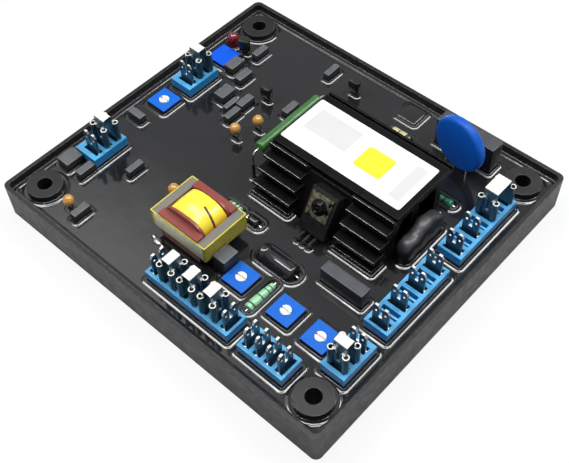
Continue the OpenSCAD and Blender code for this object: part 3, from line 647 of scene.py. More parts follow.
def cap(mesh: Mesh, ring: list[bmesh.types.BMEdge]) -> list[bmesh.types.BMFace]:
    """Closes a loop with one face.

    Args:
        mesh: The mesh that holds the loop.
        ring: The loop's edges.

    Returns:
        The new faces.
    """
    return bmesh.ops.contextual_create(mesh, geom=ring)["faces"]


def soft_box(mesh: Mesh, low: Vector, high: Vector, edge: float, steps: int = 3) -> list[bmesh.types.BMVert]:
    """Adds a box with rounded edges.

    Args:
        mesh: The mesh to add to.
        low: Lowest corner.
        high: Highest corner.
        edge: Radius of the edges.
        steps: Faces across each rounded edge.

    Returns:
        The new vertices.
    """
    before = set(mesh.verts)
    made = bmesh.ops.create_cube(mesh, size=1.0)["verts"]
    place = Matrix.Translation((low + high) / 2) @ Matrix.Diagonal((*(high - low), 1.0))
    bmesh.ops.transform(mesh, matrix=place, verts=made)
    edges = list({e for v in made for e in v.link_edges})
    bmesh.ops.bevel(mesh, geom=edges, offset=edge, affect="EDGES", segments=steps, profile=0.5,
                    material=-1, clamp_overlap=True)
    return [v for v in mesh.verts if v not in before]


def lathe(mesh: Mesh, outline: Sequence[tuple[float, float]], place: Matrix, steps: int = 32) -> None:
    """Spins an outline of radius and height about Z, then moves it into place.

    Args:
        mesh: The mesh to add to.
        outline: Radius and height pairs from the lowest to the highest, both ends on the axis.
        place: Where the spun shape goes.
        steps: Faces round the axis.
    """
    before = set(mesh.verts)
    verts = [mesh.verts.new((radius, 0.0, height)) for radius, height in outline]
    edges = [mesh.edges.new(pair) for pair in zip(verts, verts[1:])]
    bmesh.ops.spin(mesh, geom=verts + edges, cent=(0, 0, 0), axis=(0, 0, 1),
                   angle=2 * math.pi, steps=steps, use_merge=True)
    made = [v for v in mesh.verts if v not in before]
    bmesh.ops.remove_doubles(mesh, verts=made, dist=1e-7)
    made = [v for v in mesh.verts if v not in before]
    bmesh.ops.transform(mesh, matrix=place, verts=made)


def tube(mesh: Mesh, path: Sequence[Vector], radius: float, steps: int = 10) -> None:
    """Adds a round wire along a path, closed at both ends.

    Args:
        mesh: The mesh to add to.
        path: Points along the wire's middle.
        radius: The wire's radius.
        steps: Faces round the wire.
    """
    rings = []
    for index, point in enumerate(path):
        ahead = path[min(index + 1, len(path) - 1)] - path[max(index - 1, 0)]
        turn = ahead.to_track_quat("Z", "Y").to_matrix().to_4x4()
        made = bmesh.ops.create_circle(mesh, segments=steps, radius=radius)["verts"]
        bmesh.ops.transform(mesh, matrix=Matrix.Translation(point) @ turn, verts=made)
        rings.append(list({e for v in made for e in v.link_edges}))
    bridge(mesh, rings)
    cap(mesh, rings[0])
    cap(mesh, rings[-1])


def arc_path(points: Sequence[Vector], bend: float, steps: int = 5) -> list[Vector]:
    """Rounds the corners of a path.

    Args:
        points: The path's corners and ends.
        bend: Distance from a corner at which the bend starts.
        steps: Points in each bend.

    Returns:
        The points of the rounded path.
    """
    out = [points[0]]
    for before, here, after in zip(points, points[1:], points[2:]):
        start = here + (before - here).normalized() * min(bend, (before - here).length / 2)
        end = here + (after - here).normalized() * min(bend, (after - here).length / 2)
        for step in range(steps + 1):
            t = step / steps
            out.append(start * (1 - t) ** 2 + here * 2 * t * (1 - t) + end * t ** 2)
    out.append(points[-1])
    return out


def finish_piece(mesh: Mesh, name: str, finish: Finish, smooth: float = 35.0,
                 body: str = BODY) -> bpy.types.Object:
    """Turns a worked mesh into a piece that rides on a body.

    Args:
        mesh: The worked mesh, in metres, in its place.
        name: The piece's name.
        finish: The piece's finish.
        smooth: Largest angle in degrees that is shaded as smooth.
        body: The body that the piece moves with.

    Returns:
        The new object.
    """
    bmesh.ops.remove_doubles(mesh, verts=mesh.verts, dist=1e-7)
    bmesh.ops.recalc_face_normals(mesh, faces=mesh.faces)
    for face in mesh.faces:
        face.smooth = True
    for edge in mesh.edges:
        if edge.is_manifold and edge.calc_face_angle(0.0) > math.radians(smooth):
            edge.smooth = False
    data = bpy.data.meshes.new(name)
    mesh.to_mesh(data)
    mesh.free()
    data.materials.append(finish.make())
    made = bpy.data.objects.new(name, data)
    bpy.context.scene.collection.objects.link(made)
    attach(made, body)
    LOG.info("piece %s: %d faces", name, len(data.polygons))
    return made


def dress(node: str, finish: Finish) -> None:
    """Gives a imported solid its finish.

    Args:
        node: The solid's name.
        finish: The finish.
    """
    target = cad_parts[node]
    target.data.materials.clear()
    target.data.materials.append(finish.make())
    LOG.info("solid %s: %s", node, finish.name)


def at(x: float, y: float, z: float) -> Vector:
    """Gives a place in metres from millimetres."""
    return Vector((x, y, z)) * MM


@dataclass
class Footprint:
    """A component's outline at the resin, which the resin climbs."""

    x: float
    y: float
    size_x: float
    size_y: float
    turn: float = 0.0
    corner: float = 0.3
    climb: float = 1.3
    spread: float = 2.4


@dataclass
class Enclosure:
    """The tray, the board and the resin poured over it.

    Attributes:
        footprints: Outlines of what stands out of the resin.
    """

    footprints: list[Footprint] = field(default_factory=list)

    def build(self) -> None:
        """Dresses the solids and adds the skirts where the resin climbs."""
        dress("tray", Finishes.tray)
        dress("circuit_board", Finishes.board)
        dress("casting_resin", Finishes.resin)
        mesh = bmesh.new()
        for mark in self.footprints:
            self.skirt(mesh, mark)
        finish_piece(mesh, "resin_skirts", Finishes.resin, smooth=60)
        self.rim()

    def skirt(self, mesh: Mesh, mark: Footprint) -> None:
        """Adds a closed ring of resin round one outline.

        Args:
            mesh: The mesh to add to.
            mark: The outline.
        """
        rings = []
        for out, rise in self.section(mark.spread, mark.climb):
            rings.append(
                rounded_ring(mesh, (mark.size_x / 2 + out) * MM, (mark.size_y / 2 + out) * MM,
                             (mark.corner + out) * MM, at(mark.x, mark.y, RESIN + rise),
                             mark.turn)
            )
        self.ease(rings[1:13], Vector((mark.x, mark.y)),
                  Vector((mark.size_x, mark.size_y)) / 2 - Vector((mark.corner, mark.corner)),
                  mark.turn)
        bridge(mesh, rings + rings[:1])

    def ease(self, rings: list[list[bmesh.types.BMEdge]], middle: Vector, core: Vector,
             turn: float) -> None:
        """Flattens the bead toward the near corner, where the poured resin lay thinner.

        Args:
            rings: The bead's rings.
            middle: Centre of the outline in millimetres.
            core: Half sizes of the outline without its corners, in millimetres.
            turn: The outline's turn in degrees.
        """
        spin = Matrix.Rotation(math.radians(turn), 2)
        for vert in {vert for ring in rings for edge in ring for vert in edge.verts}:
            x, y = vert.co.x / MM, vert.co.y / MM
            local = spin.inverted() @ (Vector((x, y)) - middle)
            held = Vector((max(-core.x, min(core.x, local.x)), max(-core.y, min(core.y, local.y))))
            away = spin @ (local - held)
            share = away.y ** 2 / max(1e-9, away.length_squared)
            steep = 0.42 + 0.0026 * y * share - 0.0029 * x * (1 - share)
            vert.co.z = (RESIN + (vert.co.z / MM - RESIN) * steep / 0.4975) * MM

    def section(self, spread: float, climb: float) -> list[tuple[float, float]]:
        """Gives the ring's section: a soft bead, a groove, and the climb up the part.

        Args:
            spread: Reach over the flat resin in millimetres.
            climb: Height up the part in millimetres.

        Returns:
            Pairs of distance from the part and height over the resin.
        """
        bead = [(0.85 - 0.0525 * step, 0.16 * (1 - math.cos(math.pi * step / 8)))
                for step in range(9)]
        bead += [(0.33, 0.29), (0.22, 0.24), (0.1, 0.28)]
        rises = [(out * spread, rise * spread / 2.4) for out, rise in bead]
        rises += [(0.05 * spread, 0.2 + 0.25 * climb), (0.02 * spread, 0.2 + 0.55 * climb)]
        return [(spread, -0.4)] + rises + [(0.0, climb), (-0.12, climb - 0.02), (-0.12, -0.4)]

    def rim(self) -> None:
        """Adds the resin that climbs the tray's inner wall."""
        mesh = bmesh.new()
        rings = [
            rounded_ring(mesh, (73.5 - out) * MM, (66.0 - out) * MM,
                         max(0.4, 1.75 - out * 0.2) * MM, at(0, 0, RESIN + rise), 0)
            for out, rise in self.section(2.9, 1.1)
        ]
        self.ease(rings[1:13], Vector((0, 0)), Vector((70.0, 62.5)), 0)
        bridge(mesh, rings + rings[:1])
        finish_piece(mesh, "resin_rim_skirt", Finishes.resin, smooth=60)


@dataclass
class HeatsinkGroup:
    """The finned extrusion with its film, power transistor, plate and screw."""

    film_top: float = 29.7
    fins: tuple[tuple[float, float], ...] = ((-2.289, 25.7125), (-5.487, 21.55), (-8.439, 16.925),
                                             (-9.3, 12.855))
    runs: tuple[tuple[float, float], ...] = ((-6.5, 11.0), (31.0, 48.5))
    screw_place: tuple[float, float, float] = (22.7, -1.0682, 20.6015)
    slope: float = 60.0

    def build(self) -> None:
        """Dresses the solids, adds painted highlight lines along the fins' tips, and prints the film's plain
        fields.
        """
        dress("heatsink", Finishes.heatsink)
        dress("heatsink_label", Finishes.film)
        dress("power_transistor", Finishes.epoxy)
        dress("spring_clamp", Finishes.spring)
        self.screw()
        self.fin_highlights()
        self.fields()

    def screw(self) -> None:
        """Builds the screw: a domed head on a washer, seated against the spring plate."""
        mesh = bmesh.new()
        outline = [(0.0, -2.1), (1.5, -2.1), (1.5, 5.8), (2.9, 5.8), (2.98, 5.9), (2.98, 6.2),
                   (2.9, 6.3), (2.45, 6.34), (2.3, 6.5), (2.3, 6.85), (2.15, 7.3), (1.8, 7.65),
                   (1.35, 7.8), (1.1, 7.62), (0.6, 7.62), (0.45, 7.85), (0.0, 7.9)]
        place = Matrix.Translation(at(*self.screw_place)) @ Matrix.Rotation(
            math.radians(self.slope), 4, "X")
        lathe(mesh, [(a * MM, b * MM) for a, b in outline], place, 40)
        made = finish_piece(mesh, "domed_screw", Finishes.screw)
        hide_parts("clamp_screw")

    def fin_highlights(self) -> None:
        """Adds a painted highlight: a bright metal line along each fin's tip and along the top plate's edge.
        """
        mesh = bmesh.new()
        for (tip, top), width in zip(self.fins, (0.3, 0.3, 0.26, 0.3)):
            for start, end in self.runs:
                soft_box(mesh, at(start + 0.2, tip + 0.01, top - 0.1),
                         at(end - 0.2, tip + width, top + 0.015), 0.01 * MM, 1)
        for start, end in self.runs:
            soft_box(mesh, at(start + 0.2, 1.01, 29.3), at(end - 0.2, 1.22, 29.512), 0.01 * MM, 1)
        finish_piece(mesh, "painted_fin_highlights", Finishes.fin_highlight)

    def fields(self) -> None:
        """Adds plain fields of ink: one yellow, two pale grey, and a thin divider."""
        self.field("label_patch", Finishes.ink_yellow, (27.4, 17.2), (11.6, 10.4), 1.2)
        self.field("label_fields", Finishes.ink_grey, (7.0, 19.6), (19.0, 11.0), 0.8)
        self.field("label_side_field", Finishes.ink_grey, (41.6, 17.4), (4.6, 17.0), 0.6)
        self.field("label_divider", Finishes.ink_grey, (37.3, 17.4), (0.25, 21.8), 0.1)

    def field(self, name: str, finish: Finish, middle: tuple[float, float],
              size: tuple[float, float], corner: float) -> None:
        """Adds one plain field of ink as a thin closed sheet.

        Args:
            name: The piece's name.
            finish: The ink's finish.
            middle: Middle of the field in millimetres.
            size: Size along X and Y in millimetres.
            corner: Corner radius in millimetres.
        """
        mesh = bmesh.new()
        rings = [
            rounded_ring(mesh, size[0] / 2 * MM, size[1] / 2 * MM, corner * MM,
                         at(*middle, self.film_top + lift), 0)
            for lift in (-0.01, 0.012)
        ]
        bridge(mesh, rings)
        for ring in rings:
            cap(mesh, ring)
        finish_piece(mesh, name, finish)


@dataclass
class TransformerGroup:
    """The small transformer: laminations, bobbin, winding and tape."""

    middle_x: float = -7.0
    middle_y: float = -34.05
    middle_z: float = 19.75
    half_x: float = 9.3
    half_z: float = 7.25

    def build(self) -> None:
        """Dresses the solids and remakes the winding as a smooth coil."""
        dress("transformer_core", Finishes.core)
        dress("transformer_bobbin", Finishes.bobbin)
        dress("transformer_tape", Finishes.band)
        self.winding()
        self.crease_shade_line()
        self.strip()
        self.solder()

    def crease_shade_line(self) -> None:
        """Adds painted shade: a dark tube along the crease where the last turn of tape ends, curving over
        the coil.
        """
        mesh = bmesh.new()
        path = []
        for step in range(15):
            share = step / 14
            x = 2.6 + 6.2 * share
            z = self.half_z * (1 - (x / self.half_x) ** 2.5) ** 0.4
            path.append(at(self.middle_x + x, self.middle_y + 1.05 - 1.9 * share,
                           self.middle_z + z - 0.04))
        tube(mesh, path, 0.42 * MM, 8)
        finish_piece(mesh, "painted_coil_crease_shade", Finishes.crease)

    def strip(self) -> None:
        """Adds the plain paper strip along the front of the laminations."""
        mesh = bmesh.new()
        soft_box(mesh, at(-18.6, -44.14, 16.6), at(4.9, -44.05, 23.0), 0.03 * MM, 2)
        finish_piece(mesh, "paper_strip", Finishes.strip)

    def solder(self) -> None:
        """Adds the uneven blobs of solder on the resin beside the front pins."""
        mesh = bmesh.new()
        for x, y, size in ((-15.8, -46.6, 1.9), (-18.2, -46.0, 1.1), (-13.2, -47.0, 1.0)):
            outline = [(0.0, -0.5), (size, -0.4), (size * 0.94, 0.35), (size * 0.7, 0.75),
                       (size * 0.4, 0.95), (0.0, 1.0)]
            place = Matrix.Translation(at(x, y, RESIN)) @ Matrix.Diagonal((1.25, 0.8, 1, 1))
            lathe(mesh, [(a * MM, b * MM) for a, b in outline], place, 18)
        finish_piece(mesh, "solder_blobs", Finishes.solder, smooth=70)

    def outline(self, mesh: Mesh, y: float, half_x: float, half_z: float) -> list[bmesh.types.BMEdge]:
        """Adds the winding's outline as a squared circle across Y.

        Args:
            mesh: The mesh to add to.
            y: Place along Y in millimetres.
            half_x: Half the width in millimetres.
            half_z: Half the height in millimetres.

        Returns:
            The loop's edges.
        """
        made = bmesh.ops.create_circle(mesh, segments=72, radius=1.0)["verts"]
        for vert in made:
            turn = math.atan2(vert.co.y, vert.co.x)
            wide = math.copysign(abs(math.cos(turn)) ** 0.8, math.cos(turn))
            tall = math.copysign(abs(math.sin(turn)) ** 0.8, math.sin(turn))
            vert.co = Vector((wide * half_x, 0.0, tall * half_z)) * MM
        bmesh.ops.translate(mesh, vec=at(self.middle_x, y, self.middle_z), verts=made)
        return list({e for v in made for e in v.link_edges})

    def winding(self) -> None:
        """Builds the coil with a step where the last turn of tape ends."""
        mesh = bmesh.new()
        span = (-5.5, -5.3, -4.9, -1.6, -1.5, 1.4, 4.9, 5.3, 5.5)
        size = (0.93, 0.97, 0.985, 0.992, 1.0, 1.0, 0.99, 0.97, 0.93)
        rings = [
            self.outline(mesh, self.middle_y + y, self.half_x * s, self.half_z * s)
            for y, s in zip(span, size)
        ]
        bridge(mesh, rings)
        for ring in (rings[0], rings[-1]):
            for face in cap(mesh, ring):
                face.smooth = False
        made = finish_piece(mesh, "film_wound_coil", Finishes.winding, smooth=50)
        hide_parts("transformer_winding")


@dataclass
class TerminalGroup:
    """The blue blocks with their tabs and links."""

    blocks: tuple[str, ...] = ("front_block", "small_block", "right_lower_block",
                               "right_middle_block", "right_upper_block", "left_lower_block",
                               "left_upper_block")
    tabs: tuple[str, ...] = ("front_block_tabs", "small_block_tabs", "right_lower_tabs",
                             "right_middle_tabs", "right_upper_tabs", "left_lower_tabs",
                             "left_upper_tabs")
    links: tuple[str, ...] = ("front_block_links", "right_lower_link", "right_upper_link",
                              "left_lower_link", "left_upper_link")
    pitch: float = 4.67
    rows: tuple[tuple[float, float, bool, int, int], ...] = (
        (-4.6, -55.0, False, 8, 1), (37.6, -55.1, False, 4, 1), (-44.4, 63.7, True, 3, 1),
        (-23.9, 63.7, True, 7, 2), (15.0, 63.8, True, 7, 2), (-34.9, -61.9, True, 3, 1),
        (13.4, -61.9, True, 3, 1),
    )

    def build(self) -> None:
        """Dresses the blocks, tabs and links."""
        for name in self.blocks:
            dress(name, Finishes.block)
        for name in self.tabs:
            dress(name, Finishes.tab)
        for name in self.links:
            dress(name, Finishes.link)
        self.shoulders()
        self.ribs()

    def ribs(self) -> None:
        """Adds the thin rib that parts each cell without a tab."""
        mesh = bmesh.new()
        for x0, y0, _, count, step in self.rows:
            for cell in range(1, count, 2):
                run = x0 + cell * self.pitch
                if step == 2:
                    soft_box(mesh, at(y0 - 3.6, run - 0.45, 11.2),
                             at(y0 + 3.6, run + 0.45, 15.1), 0.15 * MM, 2)
        finish_piece(mesh, "open_cell_ribs", Finishes.block)

    def shoulders(self) -> None:
        """Adds the bright pressed shoulders where each tab enters its cell."""
        mesh = bmesh.new()
        for x0, y0, along_y, count, step in self.rows:
            for cell in range(0, count, step):
                run = x0 + cell * self.pitch
                for side in (-1, 1):
                    low = (run - 0.4, y0 + side * 3.3 - 0.18, 14.9)
                    high = (run + 0.4, y0 + side * 3.3 + 0.18, 15.75)
                    if along_y:
                        low, high = (y0 + side * 3.3 - 0.18, run - 0.4, 14.9), (
                            y0 + side * 3.3 + 0.18, run + 0.4, 15.75)
                    soft_box(mesh, at(*low), at(*high), 0.12 * MM, 2)
        finish_piece(mesh, "tab_shoulders", Finishes.wire)


@dataclass
class TrimmerGroup:
    """The blue trimmers and their white rotors."""

    names: tuple[str, ...] = ("trimmer_left", "trimmer_one", "trimmer_two", "trimmer_three")

    def build(self) -> None:
        """Dresses the bodies, the rotors and the plain blue capacitor."""
        for name in self.names:
            dress(name, Finishes.trimmer)
            dress(name + "_rotor", Finishes.rotor)
        dress("blue_film_capacitor", Finishes.blue_case)


@dataclass
class CapacitorGroup:
    """Moulded box capacitors: a case with rounded edges and a potted top.

    Attributes:
        slim: Places of the slim ones: x, y, size along X, size along Y, top.
        wide: Places of the wide ones in the same form.
    """

    slim: tuple[tuple[float, float, float, float, float], ...] = (
        (-24, 55.6, 2.7, 7.2, 14.5), (-53.1, 45.4, 3.1, 7.2, 14.5), (-48.7, 30.9, 3.5, 7.2, 14.5),
        (-38.2, 21, 3.4, 7.2, 14.5), (-41.4, 16.4, 2.4, 7.2, 14.5), (-37.5, 13, 2.9, 7.2, 14.5),
        (-22.6, 29.6, 3.1, 7.2, 14.5), (-45.5, -29.8, 2.7, 7.2, 14.5),
        (-58.5, -42.3, 3.2, 7.2, 14.5), (-45, -56.1, 3.1, 7.2, 14.5),
    )
    wide: tuple[tuple[float, float, float, float, float], ...] = (
        (-47.5, 19.2, 5, 7.2, 14.8), (-65.1, -11, 7.3, 3.2, 14.5),
        (-66.9, -42.4, 6.2, 7.4, 14.8), (-56, 33.4, 4.6, 7.3, 14.6),
    )
    large: tuple[float, float, float, float, float] = (45.65, -19.75, 17.7, 4.7, 18.5)
    square: tuple[float, float, float, float, float] = (9, -37.8, 5.5, 7, 17.7)
    rim: tuple[float, float, float, float, float] = (40.2, 56, 24.4, 6.2, 23.5)

    def build(self) -> None:
        """Builds every case and its potted top."""
        self.row("slim_cases", self.slim, "slim_film_capacitors", Finishes.case)
        self.row("wide_cases", self.wide, "wide_film_capacitors", Finishes.case)
        self.row("large_case", (self.large,), "large_film_capacitor", Finishes.slate)
        self.row("square_case", (self.square,), "square_film_capacitor", Finishes.case)
        self.row("rim_case", (self.rim,), "rim_capacitor", Finishes.slate)

    def row(self, name: str, places: Iterable[tuple[float, float, float, float, float]],
            node: str, finish: Finish) -> None:
        """Builds one group of cases.

        Args:
            name: The piece's name.
            places: The cases' places and sizes.
            node: The solid that the piece stands for.
            finish: The case's finish.
        """
        mesh = bmesh.new()
        for x, y, size_x, size_y, top in places:
            soft_box(mesh, at(x - size_x / 2, y - size_y / 2, BOARD_TOP),
                     at(x + size_x / 2, y + size_y / 2, top), 0.28 * MM)
            self.recess(mesh, top)
        made = finish_piece(mesh, name, finish)
        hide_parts(node)

    def recess(self, mesh: Mesh, top: float) -> None:
        """Sinks the flat of a case's top a little inside its edges.

        Args:
            mesh: The mesh that holds the case.
            top: Height of the case's top in millimetres.
        """
        flat = [f for f in mesh.faces
                if f.normal.z > 0.99 and abs(f.calc_center_median().z - top * MM) < 1e-6
                and f.calc_area() > 3e-6]
        for face in flat:
            bmesh.ops.inset_region(mesh, faces=[face], thickness=0.22 * MM, depth=0.0)
            bmesh.ops.inset_region(mesh, faces=[face], thickness=0.08 * MM, depth=-0.12 * MM)


@dataclass
class AxialPart:
    """A lying part with wire ends.

    Attributes:
        name: The piece's name.
        node: The solid that it stands for.
        slot: A material slot's name; not used.
        finish: The body's finish.
        x: Place of the body's middle along X in millimetres, as y and z are along theirs.
        along_y: Whether the axis runs along Y instead of X.
        diameter: Largest diameter.
        length: Length of the body.
        out: How far the wires reach past the body before they bend down.
        profile: Places along the axis with the share of the diameter at each.
        bands: Places and widths of the painted bands.
        paint: The bands' finish.
        smooth_end: Radius of the ends' edges.
        bend: Radius of the wires' bends.
    """

    name: str
    node: str
    slot: str
    finish: Finish
    x: float
    y: float
    z: float
    along_y: bool
    diameter: float
    length: float
    out: float
    profile: tuple[tuple[float, float], ...] = ()
    bands: tuple[tuple[float, float], ...] = ()
    paint: Finish = Finishes.stripe
    smooth_end: float = 0.6
    bend: float = 0.9

    def frame(self) -> Matrix:
        """Gives the place of the part's axis, with Z along it."""
        lie = Matrix.Rotation(math.radians(90), 4, "Y")
        turn = Matrix.Rotation(math.radians(90 if self.along_y else 0), 4, "Z")
        return Matrix.Translation(at(self.x, self.y, self.z)) @ turn @ lie

    def build(self) -> None:
        """Builds the body, its bands and its wires."""
        mesh = bmesh.new()
        lathe(mesh, [(a * MM, b * MM) for a, b in self.outline()], self.frame(), 40)
        body = finish_piece(mesh, self.name, self.finish)
        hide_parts(self.node)
        self.wires()
        if self.bands:
            self.paint_bands()

    def stations(self) -> list[tuple[float, float]]:
        """Gives places along the axis with the radius at each, in millimetres."""
        half = self.length / 2
        shares = self.profile or ((-half, 1.0), (half, 1.0))
        return [(place, share * self.diameter / 2) for place, share in shares]

    def outline(self) -> list[tuple[float, float]]:
        """Gives the body's outline with rounded ends.

        Returns:
            Radius and place pairs from one end of the axis to the other.
        """
        stations, soft = self.stations(), self.smooth_end
        first, last = stations[0], stations[-1]
        points = [(0.0, first[0])]
        turns = [math.radians(90 * step / 6) for step in range(7)]
        for turn in turns:
            points.append((first[1] - soft + soft * math.sin(turn),
                           first[0] + soft - soft * math.cos(turn)))
        points += [(radius, place) for place, radius in stations[1:-1]]
        for turn in reversed(turns):
            points.append((last[1] - soft + soft * math.sin(turn),
                           last[0] - soft + soft * math.cos(turn)))
        return points + [(0.0, last[0])]

    def radius_at(self, where: float) -> float:
        """Gives the body's radius at a place along the axis.

        Args:
            where: Distance from the body's middle in millimetres.

        Returns:
            The radius in millimetres.
        """
        stations = self.stations()
        for (start, low), (end, high) in zip(stations, stations[1:]):
            if start <= where <= end and end > start:
                return low + (high - low) * (where - start) / (end - start)
        return self.diameter / 2

    def wires(self) -> None:
        """Adds the wire at each end, bent down into the resin."""
        mesh = bmesh.new()
        axis = Vector((0, 1, 0)) if self.along_y else Vector((1, 0, 0))
        middle = at(self.x, self.y, self.z)
        for side in (-1, 1):
            start = middle + axis * side * (self.length / 2 - 0.3) * MM
            knee = middle + axis * side * (self.length / 2 + self.out) * MM
            foot = Vector((knee.x, knee.y, (BOARD_TOP + 0.5) * MM))
            tube(mesh, arc_path([start, knee, foot], self.bend * MM), 0.36 * MM)
        finish_piece(mesh, self.name + "_wires", Finishes.wire)

    def paint_bands(self) -> None:
        """Adds the painted bands round the body."""
        mesh = bmesh.new()
        for where, width in self.bands:
            start, end = where - width / 2, where + width / 2
            low, high = self.radius_at(start) + 0.03, self.radius_at(end) + 0.03
            ring = [(low - 0.2, start), (low, start), (high, end), (high - 0.2, end)]
            before = set(mesh.verts)
            verts = [mesh.verts.new((a * MM, 0.0, b * MM)) for a, b in ring]
            edges = [mesh.edges.new(p) for p in zip(verts, verts[1:] + verts[:1])]
            bmesh.ops.spin(mesh, geom=verts + edges, cent=(0, 0, 0), axis=(0, 0, 1),
                           angle=2 * math.pi, steps=40, use_merge=True)
            made = [v for v in mesh.verts if v not in before]
            bmesh.ops.transform(mesh, matrix=self.frame(), verts=made)
        finish_piece(mesh, self.name + "_bands", self.paint)


